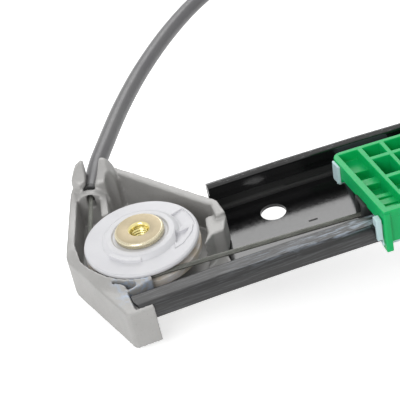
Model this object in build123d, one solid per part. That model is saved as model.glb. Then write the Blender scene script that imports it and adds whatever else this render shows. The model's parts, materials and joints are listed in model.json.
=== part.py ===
from build123d import *
import os
from math import acos, atan, cos, degrees, hypot, pi, radians, sin, tan

# Window regulator, single rail, cable driven, lying on its back.
# Frame: origin at the middle rail hole, on the web's upper face. +X along the rail's chord, from the
# lower end to the upper end, +Y towards the cable drum, +Z up, out of the rail's open side. Millimetres.

# ---------------------------------------------------------------- driving dimensions
BOW_RADIUS = 1500.0          # of the near track's top face; its centre lies under the rail
PULLEY_ARC = 580.0           # along the bow, from one pulley axle to the other
WEB_DEPTH = 11.45            # from the track's top face down to the web's upper face
SHEET = 1.2                  # steel of the rail

CABLE_D = 1.5
CONDUIT_D = 6.0
CONDUIT_BORE = 2.6
PULLEY_R = 19.0
WRAP_R = 17.5                # middle of the cable round a pulley
CABLE_Z = -0.3               # middle of the cable at the pulley, in the head's own frame
CABLE_Y = -17.5              # the cable's straight run along the rail

RUN_GAP = 0.32               # between a turning piece and what is beside it
FLOOR_TOP = -11.6            # bracket floor, in the head's own frame
FLOOR_BOTTOM = -14.0

SLIDER_S = -173.0            # slider centre along the bow, from the rail's middle
SLIDER_HALF = 49.0
SLIDER_TOP = 3.3
SLIDER_CABLE_Z = -4.3        # cable height inside the slider, from the track's top face

DRUM_Y = 142.3
DRUM_WRAP_R = 20.0           # middle of the cable round the drum
DRUM_CABLE_Z = -17.7
PORT_SLOPE = 20.0            # the conduits meet the drum housing at this angle to the rail
LUG_R = 38.0                 # motor lugs, on a circle about the drum

HALF_ANGLE = degrees(PULLEY_ARC / 2 / BOW_RADIUS)
BOW_Z = WEB_DEPTH - BOW_RADIUS
BOW_AXIS = Axis((0, 0, BOW_Z), (0, 1, 0))


# ---------------------------------------------------------------- helpers
def on_bow(arc):
    """Frame that stands on the bow: its origin at the track's top face, its X along the rail."""
    return Location((0, 0, BOW_Z)) * Rotation(0, degrees(arc / BOW_RADIUS), 0) * Location((0, 0, BOW_RADIUS))


def bow_point(arc, height, y=CABLE_Y):
    """A point at this arc and this height over the track's top face."""
    turn = arc / BOW_RADIUS
    return ((BOW_RADIUS + height) * sin(turn), y, BOW_Z + (BOW_RADIUS + height) * cos(turn))


def carry(section, start, end):
    """A section in the plane across the rail's middle, carried along the bow from arc to arc."""
    turn = Rotation(0, degrees(start / BOW_RADIUS), 0)
    placed = Location((0, 0, BOW_Z)) * turn * Location((0, 0, -BOW_Z)) * (Plane.YZ * section)
    return revolve(placed, BOW_AXIS, degrees((end - start) / BOW_RADIUS))


def along_bow(points, start, end):
    """A (y, z) outline carried along the bow; z is from the track's top."""
    raised = [(y, z + WEB_DEPTH) for y, z in points]
    return carry(make_face(Polyline(*raised, close=True)), start, end)


def plan(points, radii=()):
    """A closed outline in plan, with a radius for each of its first corners, or none where it is 0."""
    face = make_face(Polyline(*points, close=True))
    for point, radius in zip(points, radii):
        if radius:
            face = fillet(face.vertices().sort_by_distance((*point, 0))[0], radius)
    return face


def prism(points, bottom, top, radii=()):
    """An outline in plan, from one height to the other."""
    return Pos(0, 0, bottom) * extrude(plan(points, radii), amount=top - bottom)


def box_between(low, high):
    size = [b - a for a, b in zip(low, high)]
    return Pos(*low) * Box(*size, align=(Align.MIN, Align.MIN, Align.MIN))


def rod(x, y, radius, bottom, top):
    return Pos(x, y, bottom) * Cylinder(radius, top - bottom, align=(Align.CENTER, Align.CENTER, Align.MIN))


def turned(profile):
    """A closed (radius, height) outline turned about Z."""
    return revolve(make_face(Plane.XZ * Polyline(*profile, close=True)), Axis.Z)


def bent_sheet(middle, bends, thickness):
    """Outline of a bent sheet: its middle line, each bend's inner radius, and its thickness."""
    sides = {1: [], -1: []}
    radii = {1: [], -1: []}
    count = len(middle)
    for i, point in enumerate(middle):
        dirs = []
        for a, b in ((i - 1, i), (i, i + 1)):
            if a >= 0 and b < count:
                dx, dy = middle[b][0] - middle[a][0], middle[b][1] - middle[a][1]
                dirs.append((dx / hypot(dx, dy), dy / hypot(dx, dy)))
        normal = [sum(-d[1] for d in dirs), sum(d[0] for d in dirs)]
        size = hypot(*normal)
        normal = [v / size for v in normal]
        reach = thickness / 2 / (normal[0] * -dirs[0][1] + normal[1] * dirs[0][0])
        for side in (1, -1):
            sides[side].append((point[0] + side * reach * normal[0], point[1] + side * reach * normal[1]))
        if len(dirs) == 2:
            left_turn = dirs[0][0] * dirs[1][1] - dirs[0][1] * dirs[1][0] > 0
            bend = bends[i - 1]
            radii[1].append(bend if left_turn else bend + thickness)
            radii[-1].append(bend + thickness if left_turn else bend)
    left = FilletPolyline(*sides[1], radius=radii[1])
    right = FilletPolyline(*sides[-1], radius=radii[-1])
    ends = [Line(sides[1][0], sides[-1][0]), Line(sides[1][-1], sides[-1][-1])]
    return make_face([left, right] + ends)


def corner_radii(points, share=0.45):
    """Radius of each corner: a share of its shorter run, over the tangent of half the turn."""
    radii = []
    for a, b, c in zip(points, points[1:], points[2:]):
        first, second = Vector(*b) - Vector(*a), Vector(*c) - Vector(*b)
        half_turn = radians(first.get_angle(second)) / 2
        radii.append(share * min(first.length, second.length) / tan(half_turn))
    return radii


def tube(points, radii, outer, inner=0.0, name=""):
    """A round tube along straight runs and tangent arcs."""
    path = FilletPolyline(*points, radius=radii)
    start = Plane(origin=path @ 0, z_dir=path % 0)
    solid = sweep(start * Circle(outer / 2), path=path)
    area = pi * outer * outer / 4
    if inner:
        solid -= sweep(start * Circle(inner / 2), path=path)
        area -= pi * inner * inner / 4
    print(name, "length", round(path.length, 1), "volume over section", round(solid.volume / area, 1),
          "radii", [round(r) for r in radii])
    return solid


LOWER = on_bow(-PULLEY_ARC / 2)     # the lower head: X along the rail, Z along the pulley's axle


def upper_of(shape):
    return mirror(shape, about=Plane.YZ)


# ---------------------------------------------------------------- guide rail
TRACK_END = -10.9            # the near track runs on into the bracket's block
FLANGE_END = 27.8            # far flange, cut square
WEB_END = 25.6               # web, seated in the bracket's nose
HOLE = (45.96, 7.6)
HOLE_R = 4.3


def make_rail():
    middle = [(-29.9, -6.0), (-29.9, -0.6), (-23.1, -0.6), (-21.9, -12.05),
              (19.25, -12.05), (19.25, -0.6), (17.4, -0.6), (17.4, -4.0)]
    bends = [0.8, 0.8, 1.2, 1.2, 0.3, 0.3]
    section = bent_sheet([(y, z + WEB_DEPTH) for y, z in middle], bends, SHEET)
    end_arc = PULLEY_ARC / 2 - TRACK_END
    rail = carry(section, -end_arc, end_arc)
    web_cut = box_between((-40, -21.0, -16), (WEB_END, 26, 6))
    flange_cut = box_between((-40, 5.7, -16), (FLANGE_END, 26, 6))
    corner = prism([(-14, -27.5), (-11.9, -24.0), (-9.2, -31.5), (-12, -33), (-16, -33)], -8, 3)
    hole = rod(*HOLE, HOLE_R, -20, 0)
    cuts = [LOWER * (web_cut + flange_cut + corner + hole)]
    cuts.append(upper_of(cuts[0]))
    cuts.append(rod(0, 0, HOLE_R, -5, 5))
    for arc in (-60, 60):
        slot = Rot(0, 0, 90) * extrude(SlotOverall(14, 6.4), amount=10)
        cuts.append(on_bow(arc) * Pos(0, -2.0, -WEB_DEPTH - 5) * slot)
    for cut in cuts:
        rail -= cut
    return rail


# ---------------------------------------------------------------- deflector head, in its own frame
CONDUIT_END = (-8.2, 34.9)
CONDUIT_TURN = 68.0          # the conduit leaves the tower at this angle to the rail
TOWER = Plane(origin=(*CONDUIT_END, 0), x_dir=(-sin(radians(CONDUIT_TURN)), cos(radians(CONDUIT_TURN)), 0),
              z_dir=(cos(radians(CONDUIT_TURN)), sin(radians(CONDUIT_TURN)), 0))
BOSS_R = 8.0
PULLEY_BOTTOM = -5.5
BUSH_R = 5.5
THREAD_R = 2.5
BUSH_TOP = 5.97
BUSH_FLANGE = 3.97


def tower_block(left, right, top, front, back, corner):
    """Part of the conduit tower: its two sides, top, front and back, in the tower's own frame."""
    outline = FilletPolyline((left, FLOOR_BOTTOM), (left, top), (right, top), (right, FLOOR_BOTTOM),
                             radius=[corner, corner])
    face = make_face([outline, Line((right, FLOOR_BOTTOM), (left, FLOOR_BOTTOM))])
    return TOWER * (Pos(0, 0, front) * extrude(face, amount=back - front))


def make_bracket():
    outline = [(-5.6, -32.4), (-14.6, -32.4), (-15.4, -29.0), (-25.2, 4.5), (-14.9, 37.6), (-11.6, 44.0),
               (1.6, 44.4), (26.9, 9.9), (26.9, 8.0), (25.3, 6.0), (25.3, -20.7), (-5.6, -20.7)]
    radii = [0, 1.6, 2.0, 11.0, 3.0, 1.5, 1.0]
    body = prism(outline, FLOOR_BOTTOM, 0, radii)
    outside = [edge for edge in body.edges().group_by(Axis.Z)[-1]
               if edge.center().X < -6 or (edge.center().Y > 20 and edge.center().X < 20)]
    body = chamfer(outside, 0.6)
    pocket = rod(0, 0, 20.7, FLOOR_TOP, 5)
    pocket += prism([(-2.5, -25.0), (28.0, -25.0), (28.0, 8.3), (24.7, 8.3), (3.2, 37.9), (-4.2, 34.9),
                     (-5.2, 32.3), (-13.0, 35.3), (-20.4, 11.0), (-20.6, 0.0), (-2.5, -20.4)], FLOOR_TOP, 5)
    body -= pocket
    # deep slot and step beside the pulley, where the core pulls out
    body -= prism([(-14.5, -13.0), (-14.6, -14.6), (-12.4, -16.2), (-11.4, -18.0), (-11.1, -19.7),
                   (-7.8, -19.6), (-7.2, -15.5)], FLOOR_TOP, 5)
    # nose that holds the web's end
    nose = prism([(17.6, -11.6), (22.2, -8.4), (25.4, -7.4), (28.7, 1.2), (28.5, 7.6), (24.6, 8.2),
                  (22.6, 2.0), (20.9, -1.0), (19.6, -7.2)], FLOOR_TOP - 0.5, -2.4)
    body += chamfer(nose.edges().group_by(Axis.Z)[-1], 0.5)
    body -= box_between((25.3, -14, -13.25), (40, 9, -11.4))
    body += box_between((19.6, -13.5, -15.4), (33.0, 6.0, -13.25))
    body += box_between((19.6, -13.5, -15.4), (25.3, 6.0, FLOOR_TOP))
    # conduit tower: a low front wall, and two horns that clasp the conduit
    body += tower_block(4.9, -7.4, 2.6, -2.0, 8.6, 0.8)
    horns = tower_block(4.9, -7.4, 8.0, 0.2, 8.6, 2.6)
    body += horns
    wrap = Pos(0, CABLE_Z, 0)
    body -= TOWER * (wrap * extrude(Circle(CONDUIT_D / 2 + 0.02), amount=12))
    body -= TOWER * (Pos(0, CABLE_Z + 7, 6) * Box(2.9, 14, 12))
    body -= TOWER * (wrap * Pos(0, 0, -3) * extrude(Circle(1.2), amount=4))
    # rib that keeps the cable from the pocket's corner
    body += prism([(-5.8, 33.5), (-3.4, 33.5), (-5.7, 21.4), (-8.4, 21.0)], FLOOR_TOP, -0.4)
    # web behind the tower that stiffens the long wall
    body += prism([(1.0, 36.5), (3.4, 37.6), (7.5, 31.6), (6.2, 30.4)], FLOOR_TOP, -1.0)
    # boss for the axle bush
    body += rod(0, 0, BOSS_R, FLOOR_TOP, PULLEY_BOTTOM - RUN_GAP)
    body -= rod(0, 0, BUSH_R, FLOOR_BOTTOM - 1, 0)
    # slots for the near track's lip, top and inner wall
    clear = 0.06
    body -= box_between((TRACK_END - 0.3, -30.5 - clear, -6.0 - clear), (0, -29.3 + clear, 1))
    body -= box_between((TRACK_END - 0.3, -30.5 - clear, -1.2 - clear), (0, -21.4, 1))
    body -= box_between((TRACK_END - 0.3, -23.75, FLOOR_BOTTOM - 1), (26, -20.95, 1))
    for y in (-28.8, -24.2):
        body -= box_between((TRACK_END - 0.3, y - 0.5, -1.9), (0, y + 0.5, 0))
    return body


def make_pulley():
    half_rim, half_root = 1.5, 0.9
    profile = [(BUSH_R + 0.05, PULLEY_BOTTOM), (8.4, PULLEY_BOTTOM), (8.4, -4.5), (18.6, -4.5),
               (PULLEY_R, -4.1), (PULLEY_R, CABLE_Z - half_rim), (16.4, CABLE_Z - half_root),
               (16.4, CABLE_Z + half_root), (PULLEY_R, CABLE_Z + half_rim), (PULLEY_R, 2.0), (18.6, 2.35),
               (12.6, 2.8), (12.1, 3.9), (9.3, 4.2), (9.0, 3.65), (BUSH_R + 0.05, 3.65)]
    pulley = turned(profile)
    ring = rod(0, 0, 17.9, 1.85, 4) - rod(0, 0, 13.2, 0, 5)
    sector = prism([(0, 0), (24 * cos(radians(-9)), 24 * sin(radians(-9))), (26, 5),
                    (24 * cos(radians(24)), 24 * sin(radians(24)))], 0, 5)
    pulley -= ring & sector
    pulley -= prism([(10.6, -4.6), (9.4, -9.4), (12.9, -7.4), (15.4, -4.0)], 1.85, 5)
    underside = rod(0, 0, 15.6, -4.6, -2.9) - rod(0, 0, 9.8, -5, 0)
    for spoke in range(6):
        underside -= Rot(0, 0, 60 * spoke) * box_between((5, -1.1, -5), (18, 1.1, 0))
    return pulley - underside


def make_bush():
    profile = [(THREAD_R, -14.2), (3.1, -14.9), (6.3, -14.9), (6.8, -14.5), (6.8, FLOOR_BOTTOM),
               (BUSH_R, FLOOR_BOTTOM), (BUSH_R, BUSH_FLANGE), (7.9, BUSH_FLANGE), (7.9, BUSH_TOP - 0.6),
               (7.3, BUSH_TOP), (3.6, BUSH_TOP), (THREAD_R, BUSH_TOP - 1.1)]
    return turned(profile)


def make_ferrule():
    ring = extrude(Circle(CONDUIT_D / 2) - Circle(1.1), amount=1.6)
    return TOWER * (Pos(0, CABLE_Z, 0.2) * ring)


# ---------------------------------------------------------------- cables and conduits, lower side
def head_point(x, y, z):
    spot = (LOWER * Location((x, y, z))).position
    return (spot.X, spot.Y, spot.Z)


def line_to_drum(distance):
    """A point on the cable's straight way to the drum, this far before it meets the drum."""
    slope = radians(PORT_SLOPE)
    x = DRUM_WRAP_R * sin(slope) - distance * cos(slope)
    y = DRUM_Y + DRUM_WRAP_R * cos(slope) + distance * sin(slope)
    return (x, y, DRUM_CABLE_Z)


CONDUIT_START = 1.82         # along the tower, behind the ferrule
CONDUIT_BEND = 15.0          # where it may start to bend, clear of the tower
CAP_SEAT = 46.0              # the conduit's other end, from the drum
LEAD_END = 9.0               # where the modelled cable stops short of the drum

tower_x, tower_y = cos(radians(CONDUIT_TURN)), sin(radians(CONDUIT_TURN))
CONDUIT_ROUTE = [
    (-283.9, 61.6, -17.2), (-274.5, 79.6, -17.5), (-261.3, 101.6, -17.5),
    (-244.2, 125.8, -17.5), (-225.0, 148.6, -17.6), (-199.3, 171.2, -17.6), (-168.0, 186.9, -17.6),
    (-133.6, 194.8, -17.7), (-98.2, 194.3, -17.7)]


def tower_point(distance):
    """A point on the conduit's straight way through the tower."""
    return head_point(CONDUIT_END[0] + distance * tower_x, CONDUIT_END[1] + distance * tower_y, CABLE_Z)


def conduit_points():
    first = [tower_point(CONDUIT_START), tower_point(CONDUIT_BEND)]
    return first + CONDUIT_ROUTE + [line_to_drum(72.0), line_to_drum(CAP_SEAT)]


def make_conduit():
    points = conduit_points()
    return tube(points, corner_radii(points), CONDUIT_D, CONDUIT_BORE, "conduit")


def web_tangent(end):
    """Turn about the bow's centre at which a line from this point touches the cable's bed on the web."""
    bed = BOW_RADIUS - WEB_DEPTH + CABLE_D / 2 + 0.02
    reach = hypot(end[0], end[2] - BOW_Z)
    return bed, acos(bed / reach)


def make_cables():
    """Both inner cables. They meet inside the slider, and the upper one lies on the web on its way."""
    way = conduit_points()
    entry = head_point(*CONDUIT_END, CABLE_Z)
    cable_turn = radians(74.0)
    corner_x = CONDUIT_END[0] - (CONDUIT_END[1] - CABLE_Y) / tan(cable_turn)
    wrap = head_point(corner_x, CABLE_Y, CABLE_Z)
    leave = head_point(3.0, CABLE_Y, CABLE_Z)
    middle = bow_point(SLIDER_S, SLIDER_CABLE_Z)
    # the route of the conduit, its outer end first
    back = [line_to_drum(LEAD_END)] + way[::-1][1:-1]
    points = back + [entry, wrap, leave, middle]
    radii = corner_radii(back + [entry])
    radii += [12.0, WRAP_R, 60.0]
    lower = tube(points, radii, CABLE_D, name="lower cable")
    upper_leave = (-leave[0], leave[1], leave[2])
    bed, first = web_tangent(middle)
    bed, second = web_tangent(upper_leave)
    turn_a = SLIDER_S / BOW_RADIUS + first
    turn_b = atan(upper_leave[0] / (upper_leave[2] - BOW_Z)) - second
    mid, spread = (turn_a + turn_b) / 2, (turn_b - turn_a) / 2
    crest = (bed / cos(spread) * sin(mid), CABLE_Y, BOW_Z + bed / cos(spread) * cos(mid))
    mirrored = [(-x, y, z) for x, y, z in back + [entry, wrap, leave]]
    points = mirrored + [crest, bow_point(SLIDER_S + 0.4, SLIDER_CABLE_Z)]
    radii = corner_radii(back + [entry]) + [12.0, WRAP_R, 60.0, bed]
    upper = tube(points, radii, CABLE_D, name="upper cable")
    return lower, upper


# ---------------------------------------------------------------- slider
SLIDER = on_bow(SLIDER_S)
PAD_RANGE = (24.0, 42.0)     # pads, from the slider's centre, at both ends
NIPPLE_X = 5.0
SKEW = 5.2                   # the end walls lean over by this much across the slider
RIB = 1.9
RIB_PITCH = 8.6
ROWS = [(4.7, -3.2, -4.9), (-5.1, -14.4, -4.9), (-16.2, -23.6, 1.6), (-25.4, -31.7, 2.2)]
CLAMP_X = -3.0               # clamp screw
CLAMP_Y = -7.6
SEAT_Z = 6.3                 # under the lower glass pad
GLASS_GAP = (7.3, 13.3)      # between the glass pads
JAW_Z = 14.3                 # under the jaw
JAW_BOSS = 4.2


def make_slider():
    low, high = SLIDER_S - SLIDER_HALF, SLIDER_S + SLIDER_HALF
    body = along_bow([(6.5, SLIDER_TOP), (-33.5, SLIDER_TOP), (-33.5, -6.0), (-31.45, -6.0), (-31.45, 1.1),
                      (-20.6, 1.1), (-20.6, -6.5), (6.5, -6.5)], low, high)
    hook = [(-33.5, -5.9), (-33.5, -10.6), (-28.6, -10.6), (-28.6, -9.1), (-31.45, -9.1), (-31.45, -5.9)]
    for end in (-1, 1):
        for near, far in ((38.5, 42.5), (24.0, 27.5)):
            a, b = sorted((SLIDER_S + end * near, SLIDER_S + end * far))
            body += along_bow(hook, a, b)
    # slanted ends
    for end in (-1, 1):
        edge = [(end * (SLIDER_HALF + 0.5), 6.6), (end * (SLIDER_HALF - SKEW), -33.6),
                (end * (SLIDER_HALF + 9), -33.6), (end * (SLIDER_HALF + 9), 6.6)]
        body -= SLIDER * prism(edge, -12, 6)
    # lattice of pockets
    width = RIB_PITCH - RIB
    for row, (far, near, floor) in enumerate(ROWS):
        for column in range(11):
            x = -SLIDER_HALF + RIB + 0.6 + RIB_PITCH * column
            under_seat = row in (1, 2) and x + width > -16
            if x + RIB_PITCH > SLIDER_HALF - 1.5 or under_seat:
                continue
            fade = 1 - (x + RIB_PITCH / 2 + SLIDER_HALF) / SLIDER_HALF
            lean = [SKEW * fade * (6.5 - y) / 40.0 for y in (far, near)]
            cell = [(x + lean[0], far), (x + width + lean[0], far), (x + width + lean[1], near),
                    (x + lean[1], near)]
            body -= SLIDER * prism(cell, floor, SLIDER_TOP + 1)
    # seat, stop wall and screw boss of the glass clamp
    seat = prism([(-14, 1.0), (-14, -25.5), (45, -25.5), (45, 1.0)], 1.0, SEAT_Z, [2, 2, 2, 2])
    wall = prism([(-14, 1.0), (-14, -25.5), (-10.5, -25.5), (-10.5, 1.0)], 1.0, JAW_Z - 0.1, [1, 1, 1, 1])
    body += SLIDER * seat
    body += SLIDER * wall
    body += SLIDER * rod(CLAMP_X, CLAMP_Y, 6.0, -6.0, JAW_Z - 0.1)
    body += SLIDER * rod(CLAMP_X, CLAMP_Y, 8.4, -6.4, -1.0)
    # bosses for the cable ends, then the channel that the cable runs in
    for x in (-NIPPLE_X, NIPPLE_X):
        body += SLIDER * rod(x, CABLE_Y, 4.0, -7.4, 1.2)
    left, right = CABLE_Y - 1.2, CABLE_Y + 1.2
    body -= along_bow([(right, -13), (right, -1.3), (left, -1.3), (left, -13)], low - 5, high + 5)
    for x in (-NIPPLE_X, NIPPLE_X):
        body -= SLIDER * rod(x, CABLE_Y, 2.95, -9, -0.6)
    body -= SLIDER * rod(CLAMP_X, CLAMP_Y, 3.1, -8, 16)
    body -= SLIDER * (Pos(CLAMP_X, CLAMP_Y, -5.0) * Box(10.1, 10.1, 4.4))
    # recesses for the far pads
    for end in (-1, 1):
        a, b = sorted((SLIDER_S + end * PAD_RANGE[0], SLIDER_S + end * (SLIDER_HALF + 2)))
        body -= along_bow([(-2.8, -12), (-2.8, -0.5), (7.0, -0.5), (7.0, -12)], a, b)
    return body


def pads(outline, near, far):
    pieces = [along_bow(outline, SLIDER_S + near, SLIDER_S + far)]
    pieces.append(along_bow(outline, SLIDER_S - far, SLIDER_S - near))
    return pieces


def make_near_pads():
    outline = [(-22.9, 1.1), (-31.45, 1.1), (-31.45, -9.1), (-28.6, -9.1), (-28.6, -6.35), (-30.82, -6.35),
               (-30.82, 0.32), (-22.9, 0.32)]
    low, high = pads(outline, PAD_RANGE[0], 44.0)
    return low + high


def make_far_pads():
    corner = [(-2.7, -4.5), (6.9, -4.5), (6.9, -0.5), (-2.7, -0.5)]
    arm = [(-2.7, -0.5), (6.9, -0.5), (8.2, -1.4), (15.6, -5.7), (18.3, -5.7), (18.3, -11.1), (10.5, -11.1),
           (7.2, -4.5), (-2.7, -4.5)]
    low_arm, high_arm = pads(arm, *PAD_RANGE)
    low_corner, high_corner = pads(corner, PAD_RANGE[1], SLIDER_HALF + 1.0)
    return (low_arm + low_corner) + (high_arm + high_corner)


def make_bumpers():
    stop = Pos(0, -9.0, -8.76) * Box(6.0, 10.0, 4.5)
    stop = fillet(stop.edges().filter_by(Axis.Z), 1.6)
    stop = chamfer(stop.faces().sort_by(Axis.Z)[0].edges(), 0.8)
    return [on_bow(SLIDER_S + end * 44.0) * stop for end in (-1, 1)]


def make_nipple(x):
    barrel = rod(x, CABLE_Y, 2.9, -7.3, -0.6)
    slot = box_between((x - 5, CABLE_Y - 1.1, -9), (x + 5, CABLE_Y + 1.1, -2.6))
    return SLIDER * (barrel - slot)


def make_jaw():
    plate = prism([(-14, 1.0), (-14, -25.5), (45, -25.5), (45, 1.0)], 0, 3.0, [3, 3, 6, 6])
    plate = chamfer(plate.edges().group_by(Axis.Z)[-1], 0.6)
    plate += rod(CLAMP_X, CLAMP_Y, 8.0, 0, JAW_BOSS)
    for y in (-22.5, -15.8, -8.2, -2.2):
        plate += prism([(8, y + 0.8), (8, y - 0.8), (42, y - 0.8), (42, y + 0.8)], 2.4, 4.0)
    plate -= rod(CLAMP_X, CLAMP_Y, 3.1, -1, 8)
    return SLIDER * Pos(0, 0, JAW_Z) * plate


def make_glass_pad(bottom, top):
    return SLIDER * prism([(5, 0), (5, -24.5), (44, -24.5), (44, 0)], bottom, top, [1.5, 1.5, 1.5, 1.5])


def make_clamp_screw():
    seat = JAW_Z + JAW_BOSS
    head = Pos(CLAMP_X, CLAMP_Y, seat + 2.0) * extrude(RegularPolygon(5.77, 6), amount=3.6)
    head += rod(CLAMP_X, CLAMP_Y, 6.6, seat, seat + 2.0)
    shank = rod(CLAMP_X, CLAMP_Y, 3.0, -6.0, seat + 0.2)
    socket = Pos(CLAMP_X, CLAMP_Y, seat + 3.2) * extrude(RegularPolygon(2.9, 6), amount=4)
    return SLIDER * (head + shank - socket)


def make_clamp_nut():
    nut = Pos(CLAMP_X, CLAMP_Y, -4.9) * Box(10.0, 10.0, 4.0) - rod(CLAMP_X, CLAMP_Y, 3.0, -9, 0)
    return SLIDER * nut


# ---------------------------------------------------------------- cable drum and its housing
WALL_R = (24.0, 26.8)
HOUSING_FLOOR = (-31.6, -28.8)
RIM_Z = -8.6
COVER_Z = -6.6
DRUM_BORE_R = 5.05
PORT_BORE_R = 5.2
PORT = (28.0, 58.0)          # bore of a conduit port, from the drum


def at_drum(shape):
    return Pos(0, DRUM_Y, 0) * shape


def port_plane(distance):
    """Plane across the lower conduit's way, looking away from the drum."""
    across, along = sin(radians(PORT_SLOPE)), cos(radians(PORT_SLOPE))
    return Plane(origin=line_to_drum(distance), x_dir=(across, along, 0), z_dir=(-along, across, 0))


def lug_angles():
    return (270, 30, 150)


def make_housing(rest_z):
    body = at_drum(rod(0, 0, WALL_R[1], HOUSING_FLOOR[0], RIM_Z))
    for x_sign in (1, -1):
        arm = port_plane(0) * (Pos(0, 0.6, 38) * Box(15.5, 16.4, 40))
        collar = port_plane(PORT[1] - 6) * extrude(Circle(9.4), amount=6)
        arm += collar
        body += arm if x_sign > 0 else upper_of(arm)
    for angle in lug_angles():
        x, y = LUG_R * cos(radians(angle)), LUG_R * sin(radians(angle))
        web = Rot(0, 0, angle) * box_between((20, -4.0, HOUSING_FLOOR[0]), (LUG_R, 4.0, -14.0))
        body += at_drum(web)
        body += at_drum(rod(x, y, 7.6, rest_z, -10.0))
    for angle in (60, 90, 120, 195, 215, 235, 305, 325, 345):
        body += at_drum(Rot(0, 0, angle) * box_between((25, -0.9, HOUSING_FLOOR[0]), (30.0, 0.9, -12.0)))
    for angle in (90, 210, 330):
        body += at_drum(Rot(0, 0, angle) * rod(29.2, 0, 3.8, -24.0, RIM_Z))
    body -= at_drum(rod(0, 0, WALL_R[0], HOUSING_FLOOR[1], RIM_Z + 1))
    body += at_drum(rod(0, 0, DRUM_BORE_R - 0.05, HOUSING_FLOOR[1] - 0.1, -12.0))
    body += at_drum(rod(0, 0, 8.0, HOUSING_FLOOR[1] - 0.1, -27.6))
    for angle in (90, 210, 330):
        body -= at_drum(Rot(0, 0, angle) * rod(29.2, 0, 1.5, -18.0, RIM_Z + 1))
    for angle in lug_angles():
        x, y = LUG_R * cos(radians(angle)), LUG_R * sin(radians(angle))
        body -= at_drum(rod(x, y, 4.6, rest_z - 1, 0))
    for x_sign in (1, -1):
        bore = port_plane(PORT[0]) * extrude(Circle(PORT_BORE_R), amount=40)
        lead = port_plane(PORT[0]) * (Pos(0, 0, -22) * extrude(Circle(1.6), amount=24))
        bore += lead
        body -= bore if x_sign > 0 else upper_of(bore)
    return body


def make_cover():
    plate = rod(0, 0, WALL_R[1], RIM_Z, COVER_Z)
    for angle in (90, 210, 330):
        ear = Rot(0, 0, angle) * rod(29.2, 0, 3.8, RIM_Z, COVER_Z)
        plate += ear
    plate -= rod(0, 0, 12.2, RIM_Z - 1, COVER_Z + 1)
    plate -= rod(0, 0, 20.0, COVER_Z - 0.7, COVER_Z + 1) - rod(0, 0, 14.5, COVER_Z - 2, COVER_Z + 2)
    for angle in (90, 210, 330):
        plate -= Rot(0, 0, angle) * rod(29.2, 0, 1.7, RIM_Z - 1, COVER_Z + 1)
    return at_drum(plate)


def make_cover_screws():
    screws = []
    for angle in (90, 210, 330):
        shank = rod(29.2, 0, 1.5, -17.8, COVER_Z)
        head = rod(29.2, 0, 3.0, COVER_Z, COVER_Z + 2.0)
        head = fillet(head.edges().group_by(Axis.Z)[-1], 0.8)
        slot = Pos(29.2, 0, COVER_Z + 1.6) * (Box(3.6, 0.8, 1.2) + Box(0.8, 3.6, 1.2))
        screws.append(at_drum(Rot(0, 0, angle) * (shank + head - slot)))
    return screws


def make_drum():
    pitch, root = 2.2, DRUM_WRAP_R - CABLE_D / 2
    profile = [(DRUM_BORE_R, -27.2), (22.6, -27.2), (22.6, -25.4)]
    level = DRUM_CABLE_Z - 3 * pitch
    for turn in range(7):
        profile += [(20.3, level - 1.0), (root, level - 0.7), (root, level + 0.7), (20.3, level + 1.0)]
        level += pitch
    profile += [(22.6, -9.9), (11.5, -9.9), (11.5, -6.0), (8.0, -6.0), (8.0, -11.4), (DRUM_BORE_R, -11.4)]
    drum = turned(profile)
    for tooth in range(8):
        spline = Rot(0, 0, 45 * tooth) * box_between((6.9, -1.1, -11.3), (8.3, 1.1, -6.0))
        drum += spline
    return at_drum(drum)


def make_winding(levels):
    rings = []
    for level in levels:
        z = DRUM_CABLE_Z + 2.2 * level
        ring = revolve(Plane.XZ * (Pos(DRUM_WRAP_R, z) * Circle(CABLE_D / 2)), Axis.Z)
        rings.append(at_drum(ring))
    return rings


def make_conduit_cap():
    outer = extrude(Circle(4.9), amount=13) + extrude(Circle(PORT_BORE_R - 0.1), amount=2.5)
    bore = Pos(0, 0, 5.0) * extrude(Circle(CONDUIT_D / 2), amount=10)
    hole = extrude(Circle(1.3), amount=8)
    return port_plane(CAP_SEAT - 5.0) * (outer - bore - hole)


def make_slack_spring():
    wire, coils, length = 0.9, 5, 11.2
    path = Helix(pitch=(length - wire) / coils, height=length - wire, radius=4.3)
    ring = Plane(origin=path @ 0, z_dir=path % 0) * Circle(wire / 2)
    coil = sweep(ring, path=path)
    return port_plane(PORT[0] + 0.7) * coil


def make_motor_sleeves(rest_z):
    sleeves = []
    for angle in lug_angles():
        x, y = LUG_R * cos(radians(angle)), LUG_R * sin(radians(angle))
        sleeves.append(at_drum(rod(x, y, 4.6, rest_z, -9.4) - rod(x, y, 3.3, rest_z - 1, 0)))
    return sleeves


# ---------------------------------------------------------------- build and write
def write(name, shape):
    if isinstance(shape, (list, tuple)):
        solids = [s for piece in shape for s in piece.solids()]
    else:
        solids = shape.solids()
    item = solids[0] if len(solids) == 1 else Compound(children=solids)
    export_step(item, "parts/" + name + ".step")


os.makedirs("parts", exist_ok=True)

write("guide_rail", make_rail())

head = {"bracket": LOWER * make_bracket(), "pulley": LOWER * make_pulley(),
        "pulley_bush": LOWER * make_bush(), "conduit_ferrule": LOWER * make_ferrule(),
        "conduit": make_conduit(),
        "conduit_cap": make_conduit_cap(), "slack_spring": make_slack_spring()}
for name, shape in head.items():
    write("lower_" + name, shape)
    write("upper_" + name, upper_of(shape))
REST_Z = head["bracket"].bounding_box().min.Z
print("rests at z", round(REST_Z, 3), "half angle", round(HALF_ANGLE, 4))

lower_cable, upper_cable = make_cables()
write("lower_cable", lower_cable)
write("upper_cable", upper_cable)

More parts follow.
